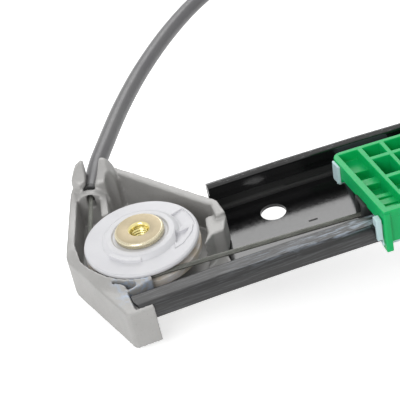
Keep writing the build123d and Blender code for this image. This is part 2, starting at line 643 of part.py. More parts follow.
write("slider_body", make_slider())
write("near_guide_pads", make_near_pads())
write("far_guide_pads", make_far_pads())
write("slider_bumpers", make_bumpers())
write("lower_cable_nipple", make_nipple(NIPPLE_X))
write("upper_cable_nipple", make_nipple(-NIPPLE_X))
write("glass_clamp_jaw", make_jaw())
write("lower_glass_pad", make_glass_pad(SEAT_Z, GLASS_GAP[0]))
write("upper_glass_pad", make_glass_pad(GLASS_GAP[1], JAW_Z))
write("clamp_screw", make_clamp_screw())
write("clamp_nut", make_clamp_nut())

write("drum_housing", make_housing(REST_Z))
write("drum_cover", make_cover())
write("cover_screws", make_cover_screws())
write("cable_drum", make_drum())
write("lower_cable_winding", make_winding((-1, -2, -3)))
write("upper_cable_winding", make_winding((1, 2)))
write("motor_sleeves", make_motor_sleeves(REST_Z))
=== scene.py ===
# %% [markdown]
# # Window regulator
# A car door's glass is carried by a slider that a cable pulls along a bowed steel rail. The rail ends in two
# cast heads, each with a grooved pulley, and the cable runs back through two sheaths to a winding drum.
# The solids come ready from the frame. Here they get their finishes, and finer surfaces take the place of
# some: the twisted wires, the threaded bushes, the castings with soft edges and the moulded slider.

# %% Load the frame
import json
import bmesh
import bpy
import numpy as np
from math import atan2, cos, hypot, pi, radians, sin
from mathutils import Matrix, Vector

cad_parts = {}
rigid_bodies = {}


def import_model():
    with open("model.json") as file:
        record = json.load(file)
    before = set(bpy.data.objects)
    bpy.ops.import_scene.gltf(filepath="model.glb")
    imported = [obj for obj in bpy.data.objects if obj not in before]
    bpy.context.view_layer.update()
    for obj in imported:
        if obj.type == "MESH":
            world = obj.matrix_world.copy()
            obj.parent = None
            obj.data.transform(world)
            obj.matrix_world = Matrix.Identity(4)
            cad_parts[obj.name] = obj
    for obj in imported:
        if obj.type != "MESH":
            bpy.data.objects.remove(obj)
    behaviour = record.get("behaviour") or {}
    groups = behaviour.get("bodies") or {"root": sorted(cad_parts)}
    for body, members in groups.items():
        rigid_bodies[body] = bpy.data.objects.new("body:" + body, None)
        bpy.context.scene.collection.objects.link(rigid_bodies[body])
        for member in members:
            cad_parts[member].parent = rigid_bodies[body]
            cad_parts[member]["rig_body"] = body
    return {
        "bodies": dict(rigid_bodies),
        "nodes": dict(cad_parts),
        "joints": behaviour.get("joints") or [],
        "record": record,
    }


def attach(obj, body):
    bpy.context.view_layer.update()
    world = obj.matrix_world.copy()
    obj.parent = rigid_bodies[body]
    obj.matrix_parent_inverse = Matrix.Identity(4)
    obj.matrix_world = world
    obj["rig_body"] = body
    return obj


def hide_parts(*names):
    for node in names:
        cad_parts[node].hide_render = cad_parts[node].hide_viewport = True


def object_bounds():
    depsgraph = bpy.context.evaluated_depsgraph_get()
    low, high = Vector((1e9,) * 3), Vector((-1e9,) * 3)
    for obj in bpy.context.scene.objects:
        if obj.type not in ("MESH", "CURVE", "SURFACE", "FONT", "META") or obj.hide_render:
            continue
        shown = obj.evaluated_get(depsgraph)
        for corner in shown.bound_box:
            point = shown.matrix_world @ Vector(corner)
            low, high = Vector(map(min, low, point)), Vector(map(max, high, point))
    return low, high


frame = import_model()
MM = 0.001
cad_box = [list(corner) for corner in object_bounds()]
print("nodes", len(frame["nodes"]), "box", cad_box)

# %% [markdown]
# ## Where things are
# The rail follows a circle whose centre lies far below it, so each pulley head leans outwards by the same
# angle. A head's own frame has its origin on the pulley's axle: X runs along the rail, Z along the axle.
# One matrix for each head takes a point from that frame to the object's.

# %% Frames of the two heads
BOW_MM, BOW_Z, HEAD_ARC = 1500.0, -1488.55, 290.0


def on_bow(arc, mirrored=False):
    """Frame on the rail's bow, this arc in mm from its middle; mirrored across the middle if asked."""
    turn = Matrix.Rotation(arc / BOW_MM, 4, "Y")
    place = Matrix.Translation((0, 0, BOW_Z * MM)) @ turn @ Matrix.Translation((0, 0, BOW_MM * MM))
    return Matrix.Scale(-1, 4, (1, 0, 0)) @ place if mirrored else place


LOWER = on_bow(-HEAD_ARC)
UPPER = on_bow(-HEAD_ARC, mirrored=True)
HEADS = {"lower": LOWER, "upper": UPPER}
print("lower axle at", [round(v, 4) for v in LOWER.translation])

# %% [markdown]
# ## Camera
# The camera looks down at the lower head from the rail's open side. A long lens keeps the rail's edges
# almost parallel, and a little roll lets the rail climb towards the right.

# %% Camera
LENS_MM, SENSOR_MM, NEAREST_M, FURTHEST_M = 180.05, 36.0, 0.02, 20.0
CAMERA_AT = Vector((-61.51, -506.83, 397.64)) * MM
HEADING, DOWNWARD, ROLL = 0.162592, 0.648269, 0.240516

level_right = Vector((cos(HEADING), -sin(HEADING), 0))
forward = Vector((sin(HEADING), cos(HEADING), 0))
camera_up = sin(DOWNWARD) * forward + cos(DOWNWARD) * Vector((0, 0, 1))
back = -cos(DOWNWARD) * forward + sin(DOWNWARD) * Vector((0, 0, 1))
right = cos(ROLL) * level_right - sin(ROLL) * camera_up
upward = sin(ROLL) * level_right + cos(ROLL) * camera_up
turned = Matrix((right, upward, back)).transposed().to_4x4()

lens = bpy.data.cameras.new("camera")
lens.lens, lens.sensor_width, lens.sensor_fit = LENS_MM, SENSOR_MM, "AUTO"
lens.clip_start, lens.clip_end = NEAREST_M, FURTHEST_M
camera = bpy.data.objects.new("camera", lens)
camera.matrix_world = LOWER @ Matrix.Translation(CAMERA_AT) @ turned
bpy.context.scene.collection.objects.link(camera)
bpy.context.scene.camera = camera
print("camera at", [round(v, 3) for v in camera.matrix_world.translation])

# %% [markdown]
# ## Small helpers for nodes
# Every finish below is one Principled shader. A few helpers keep the cells short: they make a material and
# set the numbers that are the same all over, add a node with its settings, and join sockets.

# %% Material helpers
def set_socket(socket, value):
    socket.default_value = (*value, 1.0) if socket.type == "RGBA" else value


def new_material(name, **constants):
    """A material with one Principled shader, whose sockets are set from the keywords."""
    material = bpy.data.materials.new(name)
    material.use_nodes = True
    for key, value in constants.items():
        set_socket(shader_of(material).inputs[key.replace("_", " ")], value)
    return material


def shader_of(material):
    return material.node_tree.nodes["Principled BSDF"]


def add(tree, kind, **settings):
    """A node of this kind; settings name its properties, or its inputs by number or name after 'in_'."""
    node = tree.nodes.new(kind)
    for key, value in settings.items():
        if key.startswith("in_"):
            label = key[3:]
            node.inputs[int(label) if label.isdigit() else label.replace("_", " ")].default_value = value
        else:
            setattr(node, key, value)
    return node


def mixer(tree, kind):
    """The sockets of a new Mix node, for "Color" or "Float", as a dictionary: Factor, A, B and Result."""
    node = add(tree, "ShaderNodeMix", data_type="RGBA" if kind == "Color" else "FLOAT")
    sockets = {socket.identifier: socket for socket in [*node.inputs, *node.outputs]}
    ends = {end: sockets[f"{end}_{kind}"] for end in ("A", "B", "Result")}
    return {"Factor": sockets["Factor_Float"], **ends}


# %% Joining nodes
def join(tree, source, target):
    tree.links.new(source, target)


def wire(tree, *links):
    """Joins nodes; a link is a node and its output, then a node and its input."""
    for source, output, target, entry in links:
        join(tree, source.outputs[output], target.inputs[entry])


def maths(tree, operation, *values, kind="Math", **settings):
    """The output of a new Math or VectorMath node, whose inputs in turn are sockets or plain values."""
    node = add(tree, "ShaderNode" + kind, operation=operation, **settings)
    for socket, value in zip(node.inputs, values):
        if isinstance(value, bpy.types.NodeSocket):
            join(tree, value, socket)
        else:
            socket.default_value = value
    return node.outputs["Value" if kind == "Math" or operation == "LENGTH" else "Vector"]


def vector(tree, operation, *values, **settings):
    return maths(tree, operation, *values, kind="VectorMath", **settings)


def split(tree, source):
    """X, Y and Z of a vector."""
    node = add(tree, "ShaderNodeSeparateXYZ")
    join(tree, source, node.inputs[0])
    return node.outputs


def new_group(name, inputs, outputs):
    """An empty shader node group. inputs: (name, type, default); outputs: (name, type)."""
    tree = bpy.data.node_groups.new(name, "ShaderNodeTree")
    for label, kind, value in inputs:
        socket = tree.interface.new_socket(label, in_out="INPUT", socket_type="NodeSocket" + kind)
        socket.default_value = value
    for label, kind in outputs:
        tree.interface.new_socket(label, in_out="OUTPUT", socket_type="NodeSocket" + kind)
    return tree, tree.nodes.new("NodeGroupInput"), tree.nodes.new("NodeGroupOutput")


def place_group(material, group, **values):
    """The group as a node in this material, with its own values."""
    node = add(material.node_tree, "ShaderNodeGroup", node_tree=group)
    for label, value in values.items():
        set_socket(node.inputs[label.replace("_", " ")], value)
    return node


# %% [markdown]
# ## Skin: the effect that all finishes share
# No real surface has one colour. Moulded plastic clouds a little, a casting is grainy, paint has orange
# peel. One group mixes two tones in soft patches, and a finer noise both roughens the surface and tips its
# normal. Each material places it with its own sizes, in repeats per metre.

# %% Group: skin
skin, given, result = new_group(
    "skin",
    [("Tone A", "Color", (0.5, 0.5, 0.5, 1)), ("Tone B", "Color", (0.4, 0.4, 0.4, 1)),
     ("Patches", "Float", 60.0), ("Grain", "Float", 1500.0), ("Depth", "Float", 0.1),
     ("Rough Low", "Float", 0.4), ("Rough High", "Float", 0.5)],
    [("Color", "Color"), ("Roughness", "Float"), ("Normal", "Vector")])
place = add(skin, "ShaderNodeTexCoord")
patch_noise = add(skin, "ShaderNodeTexNoise", in_Detail=3.0, in_Roughness=0.55)
grain_noise = add(skin, "ShaderNodeTexNoise", in_Detail=2.0, in_Roughness=0.6)
contrast = add(skin, "ShaderNodeMapRange", in_1=0.3, in_2=0.7)
rough = add(skin, "ShaderNodeMapRange", in_1=0.3, in_2=0.7)
bump = add(skin, "ShaderNodeBump", in_Distance=0.00012)
wire(skin, (place, "Object", patch_noise, "Vector"), (place, "Object", grain_noise, "Vector"),
     (given, "Patches", patch_noise, "Scale"), (given, "Grain", grain_noise, "Scale"),
     (patch_noise, "Fac", contrast, "Value"), (grain_noise, "Fac", rough, "Value"),
     (given, "Rough Low", rough, "To Min"), (given, "Rough High", rough, "To Max"),
     (grain_noise, "Fac", bump, "Height"), (given, "Depth", bump, "Strength"),
     (rough, "Result", result, "Roughness"), (bump, "Normal", result, "Normal"))
tone = mixer(skin, "Color")
join(skin, contrast.outputs["Result"], tone["Factor"])
join(skin, given.outputs["Tone A"], tone["A"])
join(skin, given.outputs["Tone B"], tone["B"])
join(skin, tone["Result"], result.inputs["Color"])
print("skin has", len(skin.nodes), "nodes")


def skinned(name, tones, patches, grain, depth, roughness, **constants):
    """A material whose shader takes colour, roughness and normal from the skin group."""
    material = new_material(name, **constants)
    node = place_group(material, skin, Tone_A=tones[0], Tone_B=tones[1], Patches=patches, Grain=grain,
                       Depth=depth, Rough_Low=roughness[0], Rough_High=roughness[1])
    shader = shader_of(material)
    wire(material.node_tree, (node, "Color", shader, "Base Color"), (node, "Roughness", shader, "Roughness"),
         (node, "Normal", shader, "Normal"))
    return material


# %% [markdown]
# ## Where a mark sits
# Wear and grease are local: the slider's pads polish one edge of the rail, and grease stays in the pulley's
# groove. Both heads are alike, so one group folds the object across its middle and turns each point into
# the head's own frame, in millimetres. A mark is then written once, in the numbers that the head is drawn
# in. The group also gives the distance from the pulley's axle, and the height over the bowed track.

# %% Group: head place
head_place, given, result = new_group("head_place", [], [("Place", "Vector"), ("Radius", "Float"),
                                                         ("Height", "Float")])
place = add(head_place, "ShaderNodeTexCoord").outputs["Object"]
x, y, z = split(head_place, place)
folded = add(head_place, "ShaderNodeCombineXYZ")
into_head = add(head_place, "ShaderNodeMapping", vector_type="TEXTURE",
                in_Location=LOWER.translation, in_Rotation=LOWER.to_euler())
join(head_place, maths(head_place, "MULTIPLY", maths(head_place, "ABSOLUTE", x), -1.0), folded.inputs["X"])
join(head_place, y, folded.inputs["Y"])
join(head_place, z, folded.inputs["Z"])
wire(head_place, (folded, 0, into_head, "Vector"))
in_mm = vector(head_place, "SCALE", into_head.outputs[0], in_Scale=1000.0)
radius = vector(head_place, "LENGTH", vector(head_place, "MULTIPLY", in_mm, (1, 1, 0)))
from_bow = vector(head_place, "SUBTRACT", place, (0, 0, BOW_Z * MM))
reach = vector(head_place, "LENGTH", vector(head_place, "MULTIPLY", from_bow, (1000, 0, 1000)))
join(head_place, in_mm, result.inputs["Place"])
join(head_place, radius, result.inputs["Radius"])
join(head_place, maths(head_place, "SUBTRACT", reach, BOW_MM), result.inputs["Height"])
print("head_place has", len(head_place.nodes), "nodes")

# %% [markdown]
# ## Two masks
# A zone is a soft-edged box: nothing outside its half sizes, and full a soft width inside its faces.
# Streaks are a noise that is stretched as far as the rubbing was long, cut off at a level, so only its
# highest ridges remain. Multiplied together they put a rub mark where the parts really touch.

# %% Groups: zone and streaks
zone, given, result = new_group(
    "zone", [("Place", "Vector", (0, 0, 0)), ("Centre", "Vector", (0, 0, 0)), ("Half", "Vector", (1, 1, 1)),
             ("Soft", "Float", 0.5)], [("Mask", "Float")])
offset = vector(zone, "SUBTRACT", given.outputs["Place"], given.outputs["Centre"])
distance = vector(zone, "ABSOLUTE", offset)
x, y, z = split(zone, vector(zone, "SUBTRACT", given.outputs["Half"], distance))
inside_by = maths(zone, "MINIMUM", maths(zone, "MINIMUM", x, y), z)
join(zone, maths(zone, "DIVIDE", inside_by, given.outputs["Soft"], use_clamp=True), result.inputs["Mask"])

streaks, given, result = new_group(
    "streaks", [("Place", "Vector", (0, 0, 0)), ("Stretch", "Vector", (1, 1, 1)), ("Low", "Float", 0.5),
                ("High", "Float", 0.6)], [("Mask", "Float")])
ridges = add(streaks, "ShaderNodeTexNoise", in_Scale=1.0, in_Detail=3.0, in_Roughness=0.6)
cut_off = add(streaks, "ShaderNodeMapRange")
join(streaks, vector(streaks, "MULTIPLY", given.outputs["Place"], given.outputs["Stretch"]),
     ridges.inputs["Vector"])
wire(streaks, (ridges, "Fac", cut_off, "Value"), (given, "Low", cut_off, "From Min"),
     (given, "High", cut_off, "From Max"), (cut_off, "Result", result, "Mask"))
print("zone has", len(zone.nodes), "nodes, streaks has", len(streaks.nodes))


# %% Helpers that lay marks over a finish
def times(material, *masks):
    """Product of masks; each is a socket or a number."""
    product = masks[0]
    for mask in masks[1:]:
        product = maths(material.node_tree, "MULTIPLY", product, mask)
    return product


def ramp(material, value, low, high):
    """0 at low, 1 at high, straight between and flat outside; low may be the larger."""
    node = add(material.node_tree, "ShaderNodeMapRange", in_1=low, in_2=high)
    join(material.node_tree, value, node.inputs["Value"])
    return node.outputs["Result"]


def mask_from(group, material, place, **values):
    """One of the two masks at a place."""
    node = place_group(material, group, **values)
    join(material.node_tree, place, node.inputs["Place"])
    return node.outputs["Mask"]


def in_zone(material, place, centre, half, soft):
    return mask_from(zone, material, place, Centre=centre, Half=half, Soft=soft)


def in_streaks(material, place, stretch, low, high):
    return mask_from(streaks, material, place, Stretch=stretch, Low=low, High=high)


def lay_over(material, mask, **values):
    """Over whatever feeds these inputs of the shader, lays the given values as far as the mask goes."""
    tree = material.node_tree
    for key, value in values.items():
        target = shader_of(material).inputs[key.replace("_", " ")]
        mix = mixer(tree, "Color" if target.type == "RGBA" else "Float")
        join(tree, target.links[0].from_socket, mix["A"])
        set_socket(mix["B"], value)
        join(tree, mask, mix["Factor"])
        join(tree, mix["Result"], target)


# %% [markdown]
# ## Finishes
# The heads are die-cast aluminium left as cast, with a fine grain. The rail is bent steel under gloss
# black paint. The pulleys are natural acetal, which lets a little light in, and the slider is the same
# plastic coloured green. Bushes are steel with a pale yellow zinc plating. Each row gives the two tones, the
# patches and the grain in repeats per metre, the depth of the grain and the least and most roughness.

# %% Castings, paint, plastics and metals
WHITE_DEPTH, GREEN_DEPTH = (0.003, 0.003, 0.003), (0.0005, 0.004, 0.0015)
casting = skinned("cast_aluminium", ((0.455, 0.45, 0.44), (0.395, 0.39, 0.38)), 90.0, 2600.0, 0.55,
                  (0.42, 0.60), Metallic=0.3)
paint = skinned("rail_paint", ((0.006, 0.006, 0.0065), (0.009, 0.009, 0.0095)), 40.0, 900.0, 0.05,
                (0.10, 0.18), IOR=1.6)
acetal = skinned("pulley_acetal", ((0.74, 0.74, 0.76), (0.69, 0.69, 0.715)), 90.0, 1500.0, 0.08,
                 (0.34, 0.48), Subsurface_Weight=0.3, Subsurface_Radius=WHITE_DEPTH, Subsurface_Scale=1.0)
green = skinned("slider_acetal", ((0.002, 0.50, 0.145), (0.002, 0.44, 0.12)), 70.0, 1800.0, 0.10,
                (0.34, 0.48), Subsurface_Weight=0.2, Specular_IOR_Level=0.32,
                Subsurface_Radius=GREEN_DEPTH, Subsurface_Scale=1.0)
pad_white = skinned("pad_plastic", ((0.60, 0.78, 0.80), (0.54, 0.72, 0.75)), 90.0, 1500.0, 0.05, (0.4, 0.55),
                    Subsurface_Weight=0.3, Subsurface_Radius=WHITE_DEPTH)
black_moulding = skinned("housing_plastic", ((0.028, 0.028, 0.029), (0.04, 0.04, 0.041)), 60.0, 2200.0, 0.5,
                         (0.42, 0.6))
drum_acetal = skinned("drum_acetal", ((0.78, 0.78, 0.76), (0.72, 0.72, 0.70)), 90.0, 1500.0, 0.08,
                      (0.35, 0.5), Subsurface_Weight=0.2, Subsurface_Radius=(0.003, 0.003, 0.0025))
rubber = skinned("rubber", ((0.018, 0.021, 0.020), (0.03, 0.034, 0.033)), 150.0, 2500.0, 0.4, (0.5, 0.75))
sheath = skinned("conduit_sheath", ((0.105, 0.102, 0.110), (0.125, 0.124, 0.126)), 50.0, 1200.0, 0.1,
                 (0.3, 0.42))
cap_black = skinned("cap_plastic", ((0.03, 0.03, 0.03), (0.045, 0.045, 0.045)), 80.0, 1800.0, 0.3,
                    (0.4, 0.55))
bush_plate = skinned("bush_plating", ((0.47, 0.40, 0.275), (0.41, 0.35, 0.24)), 200.0, 2500.0, 0.15,
                     (0.50, 0.62), Metallic=0.75)
zinc = skinned("screw_zinc", ((0.62, 0.62, 0.60), (0.55, 0.55, 0.54)), 200.0, 2500.0, 0.12, (0.25, 0.4),
               Metallic=1.0)
spring_wire = skinned("spring_wire", ((0.45, 0.45, 0.45), (0.38, 0.38, 0.38)), 200.0, 2500.0, 0.1,
                      (0.25, 0.4), Metallic=1.0)
nipple_zinc = skinned("nipple_zinc", ((0.50, 0.51, 0.53), (0.44, 0.45, 0.47)), 300.0, 2500.0, 0.3,
                      (0.4, 0.55), Metallic=0.9)
cable_steel = skinned("cable_steel", ((0.25, 0.255, 0.23), (0.18, 0.185, 0.165)), 260.0, 3500.0, 0.2,
                      (0.35, 0.5), Metallic=0.6)
print("finishes", len(bpy.data.materials))

# %% [markdown]
# ## Wear on the rail
# The slider's pads run on the near track, so its gloss is gone there: the paint is dull and finely scored
# along the rail, and pale grease is smeared over it, more towards the slider. The open edge of the far
# flange has a few light scratches, paint lies thick and dull in the bend below it, and the web keeps the
# short dash of a punch.

# %% Rail paint's marks
spot_node = place_group(paint, head_place)
spot = spot_node.outputs["Place"]


def along_rail(y, z, half_y, half_z, soft, middle=150.0, half_x=175.0):
    """A mask as long as half the rail, this wide and high about a line along it."""
    return in_zone(paint, spot, (middle, y, z), (half_x, half_y, half_z), soft)


track = along_rail(-27.2, -3.0, 4.4, 9.0, 0.5)
lay_over(paint, track, Base_Color=(0.008, 0.008, 0.0085), Roughness=0.46)
scoring = in_streaks(paint, spot, (0.10, 2.6, 2.6), 0.50, 0.66)
lay_over(paint, times(paint, track, scoring), Base_Color=(0.045, 0.047, 0.050), Roughness=0.38)
track_top = along_rail(-26.4, 0.0, 3.2, 8.0, 1.2)
towards_slider = ramp(paint, split(paint.node_tree, spot)["X"], 18.0, 64.0)
smears = in_streaks(paint, spot, (0.16, 1.1, 0.8), 0.47, 0.62)
grease = times(paint, track_top, smears, towards_slider)
lay_over(paint, grease, Base_Color=(0.30, 0.35, 0.42), Roughness=0.5)
lip = along_rail(18.6, -1.0, 1.6, 5.0, 0.4)
nicks = in_streaks(paint, spot, (0.35, 3.0, 3.0), 0.60, 0.68)
lay_over(paint, times(paint, lip, nicks), Base_Color=(0.16, 0.165, 0.17), Roughness=0.4)
bend_line = along_rail(18.2, 0.0, 1.4, 60.0, 0.2)
low_down = ramp(paint, spot_node.outputs["Height"], -7.5, -8.5)
lay_over(paint, times(paint, bend_line, low_down), Base_Color=(0.006, 0.006, 0.006), Roughness=0.75)
dash = in_zone(paint, spot, (56.3, -2.95, -11.4), (1.7, 0.55, 3.0), 0.3)
lay_over(paint, dash, Base_Color=(0.003, 0.003, 0.003), Roughness=0.7)
print("rail paint has", len(paint.node_tree.nodes), "nodes")

# %% [markdown]
# ## Marks on the heads
# The casting has small dark flow specks, and grease that the cable throws off has settled by its way out.
# In the pulley's groove and below it the white plastic is tinted beige in patches, more towards the bottom.
# The bush's bore is bright: the plating is thicker and smoother there than on the pressed face. The rim of
# its flange is smoother and painted lighter, a painted highlight.

# %% Casting, pulley and bush
spot = place_group(casting, head_place).outputs["Place"]
specks = in_streaks(casting, spot, (1.3, 1.3, 1.3), 0.62, 0.74)
lay_over(casting, times(casting, specks, 0.5), Base_Color=(0.26, 0.25, 0.24))
thrown = in_zone(casting, spot, (-8.0, -19.5, 0.0), (8.0, 9.0, 6.0), 5.0)
blots = in_streaks(casting, spot, (0.5, 0.5, 0.5), 0.45, 0.62)
lay_over(casting, times(casting, thrown, blots, 0.8), Base_Color=(0.40, 0.50, 0.66))

spot_node = place_group(acetal, head_place)
spot = spot_node.outputs["Place"]
# beige tint in patches, growing towards the bottom of the groove and over the lower flange
groove_depth = ramp(acetal, split(acetal.node_tree, spot)["Z"], 1.6, -1.2)
outside = ramp(acetal, spot_node.outputs["Radius"], 14.0, 17.0)
patches = in_streaks(acetal, spot, (0.25, 0.25, 0.6), 0.25, 0.6)
tint = times(acetal, groove_depth, outside, patches)
lay_over(acetal, tint, Base_Color=(0.62, 0.545, 0.45), Roughness=0.5)

from_axle = place_group(bush_plate, head_place).outputs["Radius"]
bore = ramp(bush_plate, from_axle, 3.75, 3.45)
lay_over(bush_plate, bore, Base_Color=(0.86, 0.76, 0.36), Roughness=0.16)
# painted highlight: the flange's rounded rim is painted lighter
rim_highlight = times(bush_plate, ramp(bush_plate, from_axle, 7.3, 7.6), 0.8)
lay_over(bush_plate, rim_highlight, Base_Color=(0.72, 0.66, 0.48), Roughness=0.2)
print("marked", casting.name, acetal.name, bush_plate.name)

# %% [markdown]
# ## Painted shade in the cable
# The valleys between the wires are darkened as painted shade. The cable's mesh carries a number, "crown",
# that is 1 on top of a wire and 0 in the valley beside it, and the material darkens as it falls.

# %% Cable's valleys
crown = add(cable_steel.node_tree, "ShaderNodeAttribute", attribute_name="crown").outputs["Fac"]
# painted shade: the valleys between the wires are darkened
lay_over(cable_steel, times(cable_steel, ramp(cable_steel, crown, 0.85, 0.1), 0.9),
         Base_Color=(0.030, 0.031, 0.026), Roughness=0.6)
print("cable has", len(cable_steel.node_tree.nodes), "nodes")

# %% Which node wears what
SIDES = ("lower", "upper")
PAIRS = {"bracket": casting, "pulley": acetal, "pulley_bush": bush_plate, "conduit_ferrule": cap_black,
         "conduit": sheath, "conduit_cap": cap_black, "slack_spring": spring_wire, "cable": cable_steel,
         "cable_nipple": nipple_zinc, "glass_pad": rubber, "cable_winding": cable_steel}
# PAIRS has the nodes that both sides have, without their side; WEAR has every node
WEAR = {
    "guide_rail": paint, "slider_body": green, "near_guide_pads": pad_white, "far_guide_pads": pad_white,
    "slider_bumpers": rubber, "glass_clamp_jaw": green, "clamp_screw": zinc, "clamp_nut": zinc,
    "drum_housing": black_moulding, "drum_cover": black_moulding, "cover_screws": zinc,
    "cable_drum": drum_acetal, "motor_sleeves": zinc,
    **{side + "_" + node: finish for side in SIDES for node, finish in PAIRS.items()}}


def wear(piece, material):
    """Puts one material on a piece."""
    piece.data.materials.clear()
    piece.data.materials.append(material)


for node, material in WEAR.items():
    wear(frame["nodes"][node], material)
print("dressed", len(WEAR), "of", len(frame["nodes"]))

# %% [markdown]
# ## Surfaces from numpy
# A surface here is a grid of points, rows along it and columns round it. Each quad joins four neighbours,
# and a closed direction joins its last row or column to the first. The arrays are worked out whole.

# %% Grid mesh
def unit(vectors):
    """Each row over its own length."""
    return vectors / np.linalg.norm(vectors, axis=-1, keepdims=True)


def circle(sides):
    """Cosine and sine of so many equal steps round a circle."""
    angle = np.arange(sides) * 2 * pi / sides
    return np.cos(angle), np.sin(angle)


def grid_faces(rows, columns, close_rows, flip=False):
    """Quads of a grid whose columns go round; rows close too if asked. Vertex (i, j) is i * columns + j."""
    i = np.arange(rows if close_rows else rows - 1)[:, None]
    j = np.arange(columns)[None, :]
    nearer, further = i * columns, (i + 1) % rows * columns
    quads = np.stack([nearer + j, nearer + (j + 1) % columns, further + (j + 1) % columns, further + j], -1)
    quads = quads.reshape(-1, 4)
    return quads[:, ::-1] if flip else quads


def surface(name, points, faces, material):
    """A smooth mesh object at the origin from an (n, 3) array in metres and a list of polygons."""
    mesh = bpy.data.meshes.new(name)
    mesh.from_pydata(points.tolist(), [], faces)
    mesh.shade_smooth()
    mesh.update()
    piece = bpy.data.objects.new(name, mesh)
    bpy.context.scene.collection.objects.link(piece)
    wear(piece, material)
    return piece


def grid_with_ends(rows, columns):
    """Quads of an open grid, and a polygon over its first and its last row."""
    faces = grid_faces(rows, columns, False).tolist()
    return faces + [list(range(columns))[::-1], [(rows - 1) * columns + j for j in range(columns)]]


def placed(points, matrix):
    """Points taken through a 4 by 4 matrix, in the unit that the matrix works in."""
    turn = np.array(matrix)
    return points @ turn[:3, :3].T + turn[:3, 3]


def stand_in(piece, node, body):
    """The piece is seen instead of the node and moves with its body."""
    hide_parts(node)
    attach(piece, body)


# %% [markdown]
# ## The cable
# A regulator's cable is nineteen wires: one straight in the middle, six round it and twelve outside. Only
# the twelve outer ones show. Nineteen separate tubes would be heavy, so one closed skin has twelve lobes and
# turns once about its middle for each lay. Its middle line is the cable's real way: straight runs, and an
# arc wherever it turns, round the pulley above all.

# %% The cable's way
CABLE_Z, CABLE_Y, WRAP_R = -0.3, -17.5, 17.5
DRUM_Y, DRUM_WRAP_R, DRUM_CABLE_Z, PORT_SLOPE = 142.3, 20.0, -17.7, radians(20.0)
TOWER_END, TOWER_TURN, CABLE_TURN = (-8.2, 34.9), radians(68.0), radians(74.0)
SHEATH_ROUTE = [
    (-283.9, 61.6, -17.2), (-274.5, 79.6, -17.5), (-261.3, 101.6, -17.5),
    (-244.2, 125.8, -17.5), (-225.0, 148.6, -17.6), (-199.3, 171.2, -17.6), (-168.0, 186.9, -17.6),
    (-133.6, 194.8, -17.7), (-98.2, 194.3, -17.7)]
SLIDER_ARC, SLIDER_CABLE_Z, WEB_DEPTH = -173.0, -4.3, 11.45


def head_point(x, y, z):
    """A point of the lower head's own frame, in mm of the object's."""
    return np.array(LOWER @ (Vector((x, y, z)) * MM)) / MM


def to_drum(distance):
    """A point on the straight way into the drum housing, this far before the cable meets the drum."""
    return np.array((DRUM_WRAP_R * sin(PORT_SLOPE) - distance * cos(PORT_SLOPE),
                     DRUM_Y + DRUM_WRAP_R * cos(PORT_SLOPE) + distance * sin(PORT_SLOPE), DRUM_CABLE_Z))


def on_rail(arc, height):
    """A point on the cable's line along the rail, at this height over the track."""
    turn = arc / BOW_MM
    return np.array(((BOW_MM + height) * np.sin(turn), CABLE_Y, BOW_Z + (BOW_MM + height) * np.cos(turn)))


def share_radii(points, share=0.45):
    """Radius at each inner corner: a share of its shorter run over the tangent of half the turn."""
    runs = np.diff(points, axis=0)
    lengths, along = np.linalg.norm(runs, axis=1), unit(runs)
    half_turn = np.arccos(np.clip((along[:-1] * along[1:]).sum(1), -1, 1)) / 2
    return list(share * np.minimum(lengths[:-1], lengths[1:]) / np.tan(half_turn))


def rounded_way(points, radii, step):
    """Points every step mm along straight runs joined by tangent arcs.

    At a corner with turn 2h and radius r the arc starts r tan h before it. With a the direction in and n
    the unit vector across it towards the inside, a point of the arc is start + r (sin t a + (1 - cos t) n).
    """
    points = np.array(points)
    pieces, start = [], points[0]
    for corner, following, radius in zip(points[1:-1], points[2:], radii):
        a, b = unit(corner - start), unit(following - corner)
        turn = np.arccos(np.clip(a @ b, -1, 1))
        entry = corner - a * radius * np.tan(turn / 2)
        across = (b - a * (a @ b)) / np.sin(turn)
        count = max(2, int(np.linalg.norm(entry - start) / step))
        pieces.append(start + (entry - start) * np.linspace(0, 1, count, endpoint=False)[:, None])
        t = np.linspace(0, turn, max(3, int(radius * turn / step)), endpoint=False)[:, None]
        pieces.append(entry + radius * (np.sin(t) * a + (1 - np.cos(t)) * across))
        start = entry + radius * (np.sin(turn) * a + (1 - np.cos(turn)) * across)
    count = max(2, int(np.linalg.norm(points[-1] - start) / step))
    pieces.append(start + (points[-1] - start) * np.linspace(0, 1, count)[:, None])
    return np.concatenate(pieces)


# %% Two ways, one for each cable
STEP, INTO_DRUM, OUT_OF_SHEATH, TOWER_BEND, LEAVE_X = 0.62, 9.0, 72.0, 15.0, 3.0
TOWER_RADIUS, LEAVE_RADIUS, CABLE_GAP, LIFT = 12.0, 60.0, 0.4, 0.77
entry = head_point(*TOWER_END, CABLE_Z)
bend = head_point(TOWER_END[0] + TOWER_BEND * cos(TOWER_TURN), TOWER_END[1] + TOWER_BEND * sin(TOWER_TURN),
                  CABLE_Z)
corner = head_point(TOWER_END[0] - (TOWER_END[1] - CABLE_Y) / np.tan(CABLE_TURN), CABLE_Y, CABLE_Z)
leave = head_point(LEAVE_X, CABLE_Y, CABLE_Z)
inside = [to_drum(INTO_DRUM), to_drum(OUT_OF_SHEATH), *map(np.array, SHEATH_ROUTE[::-1]), bend, entry]
radii = share_radii(inside) + [TOWER_RADIUS, WRAP_R, LEAVE_RADIUS]
lower_way = rounded_way(inside + [corner, leave, on_rail(SLIDER_ARC, SLIDER_CABLE_Z)], radii, STEP)

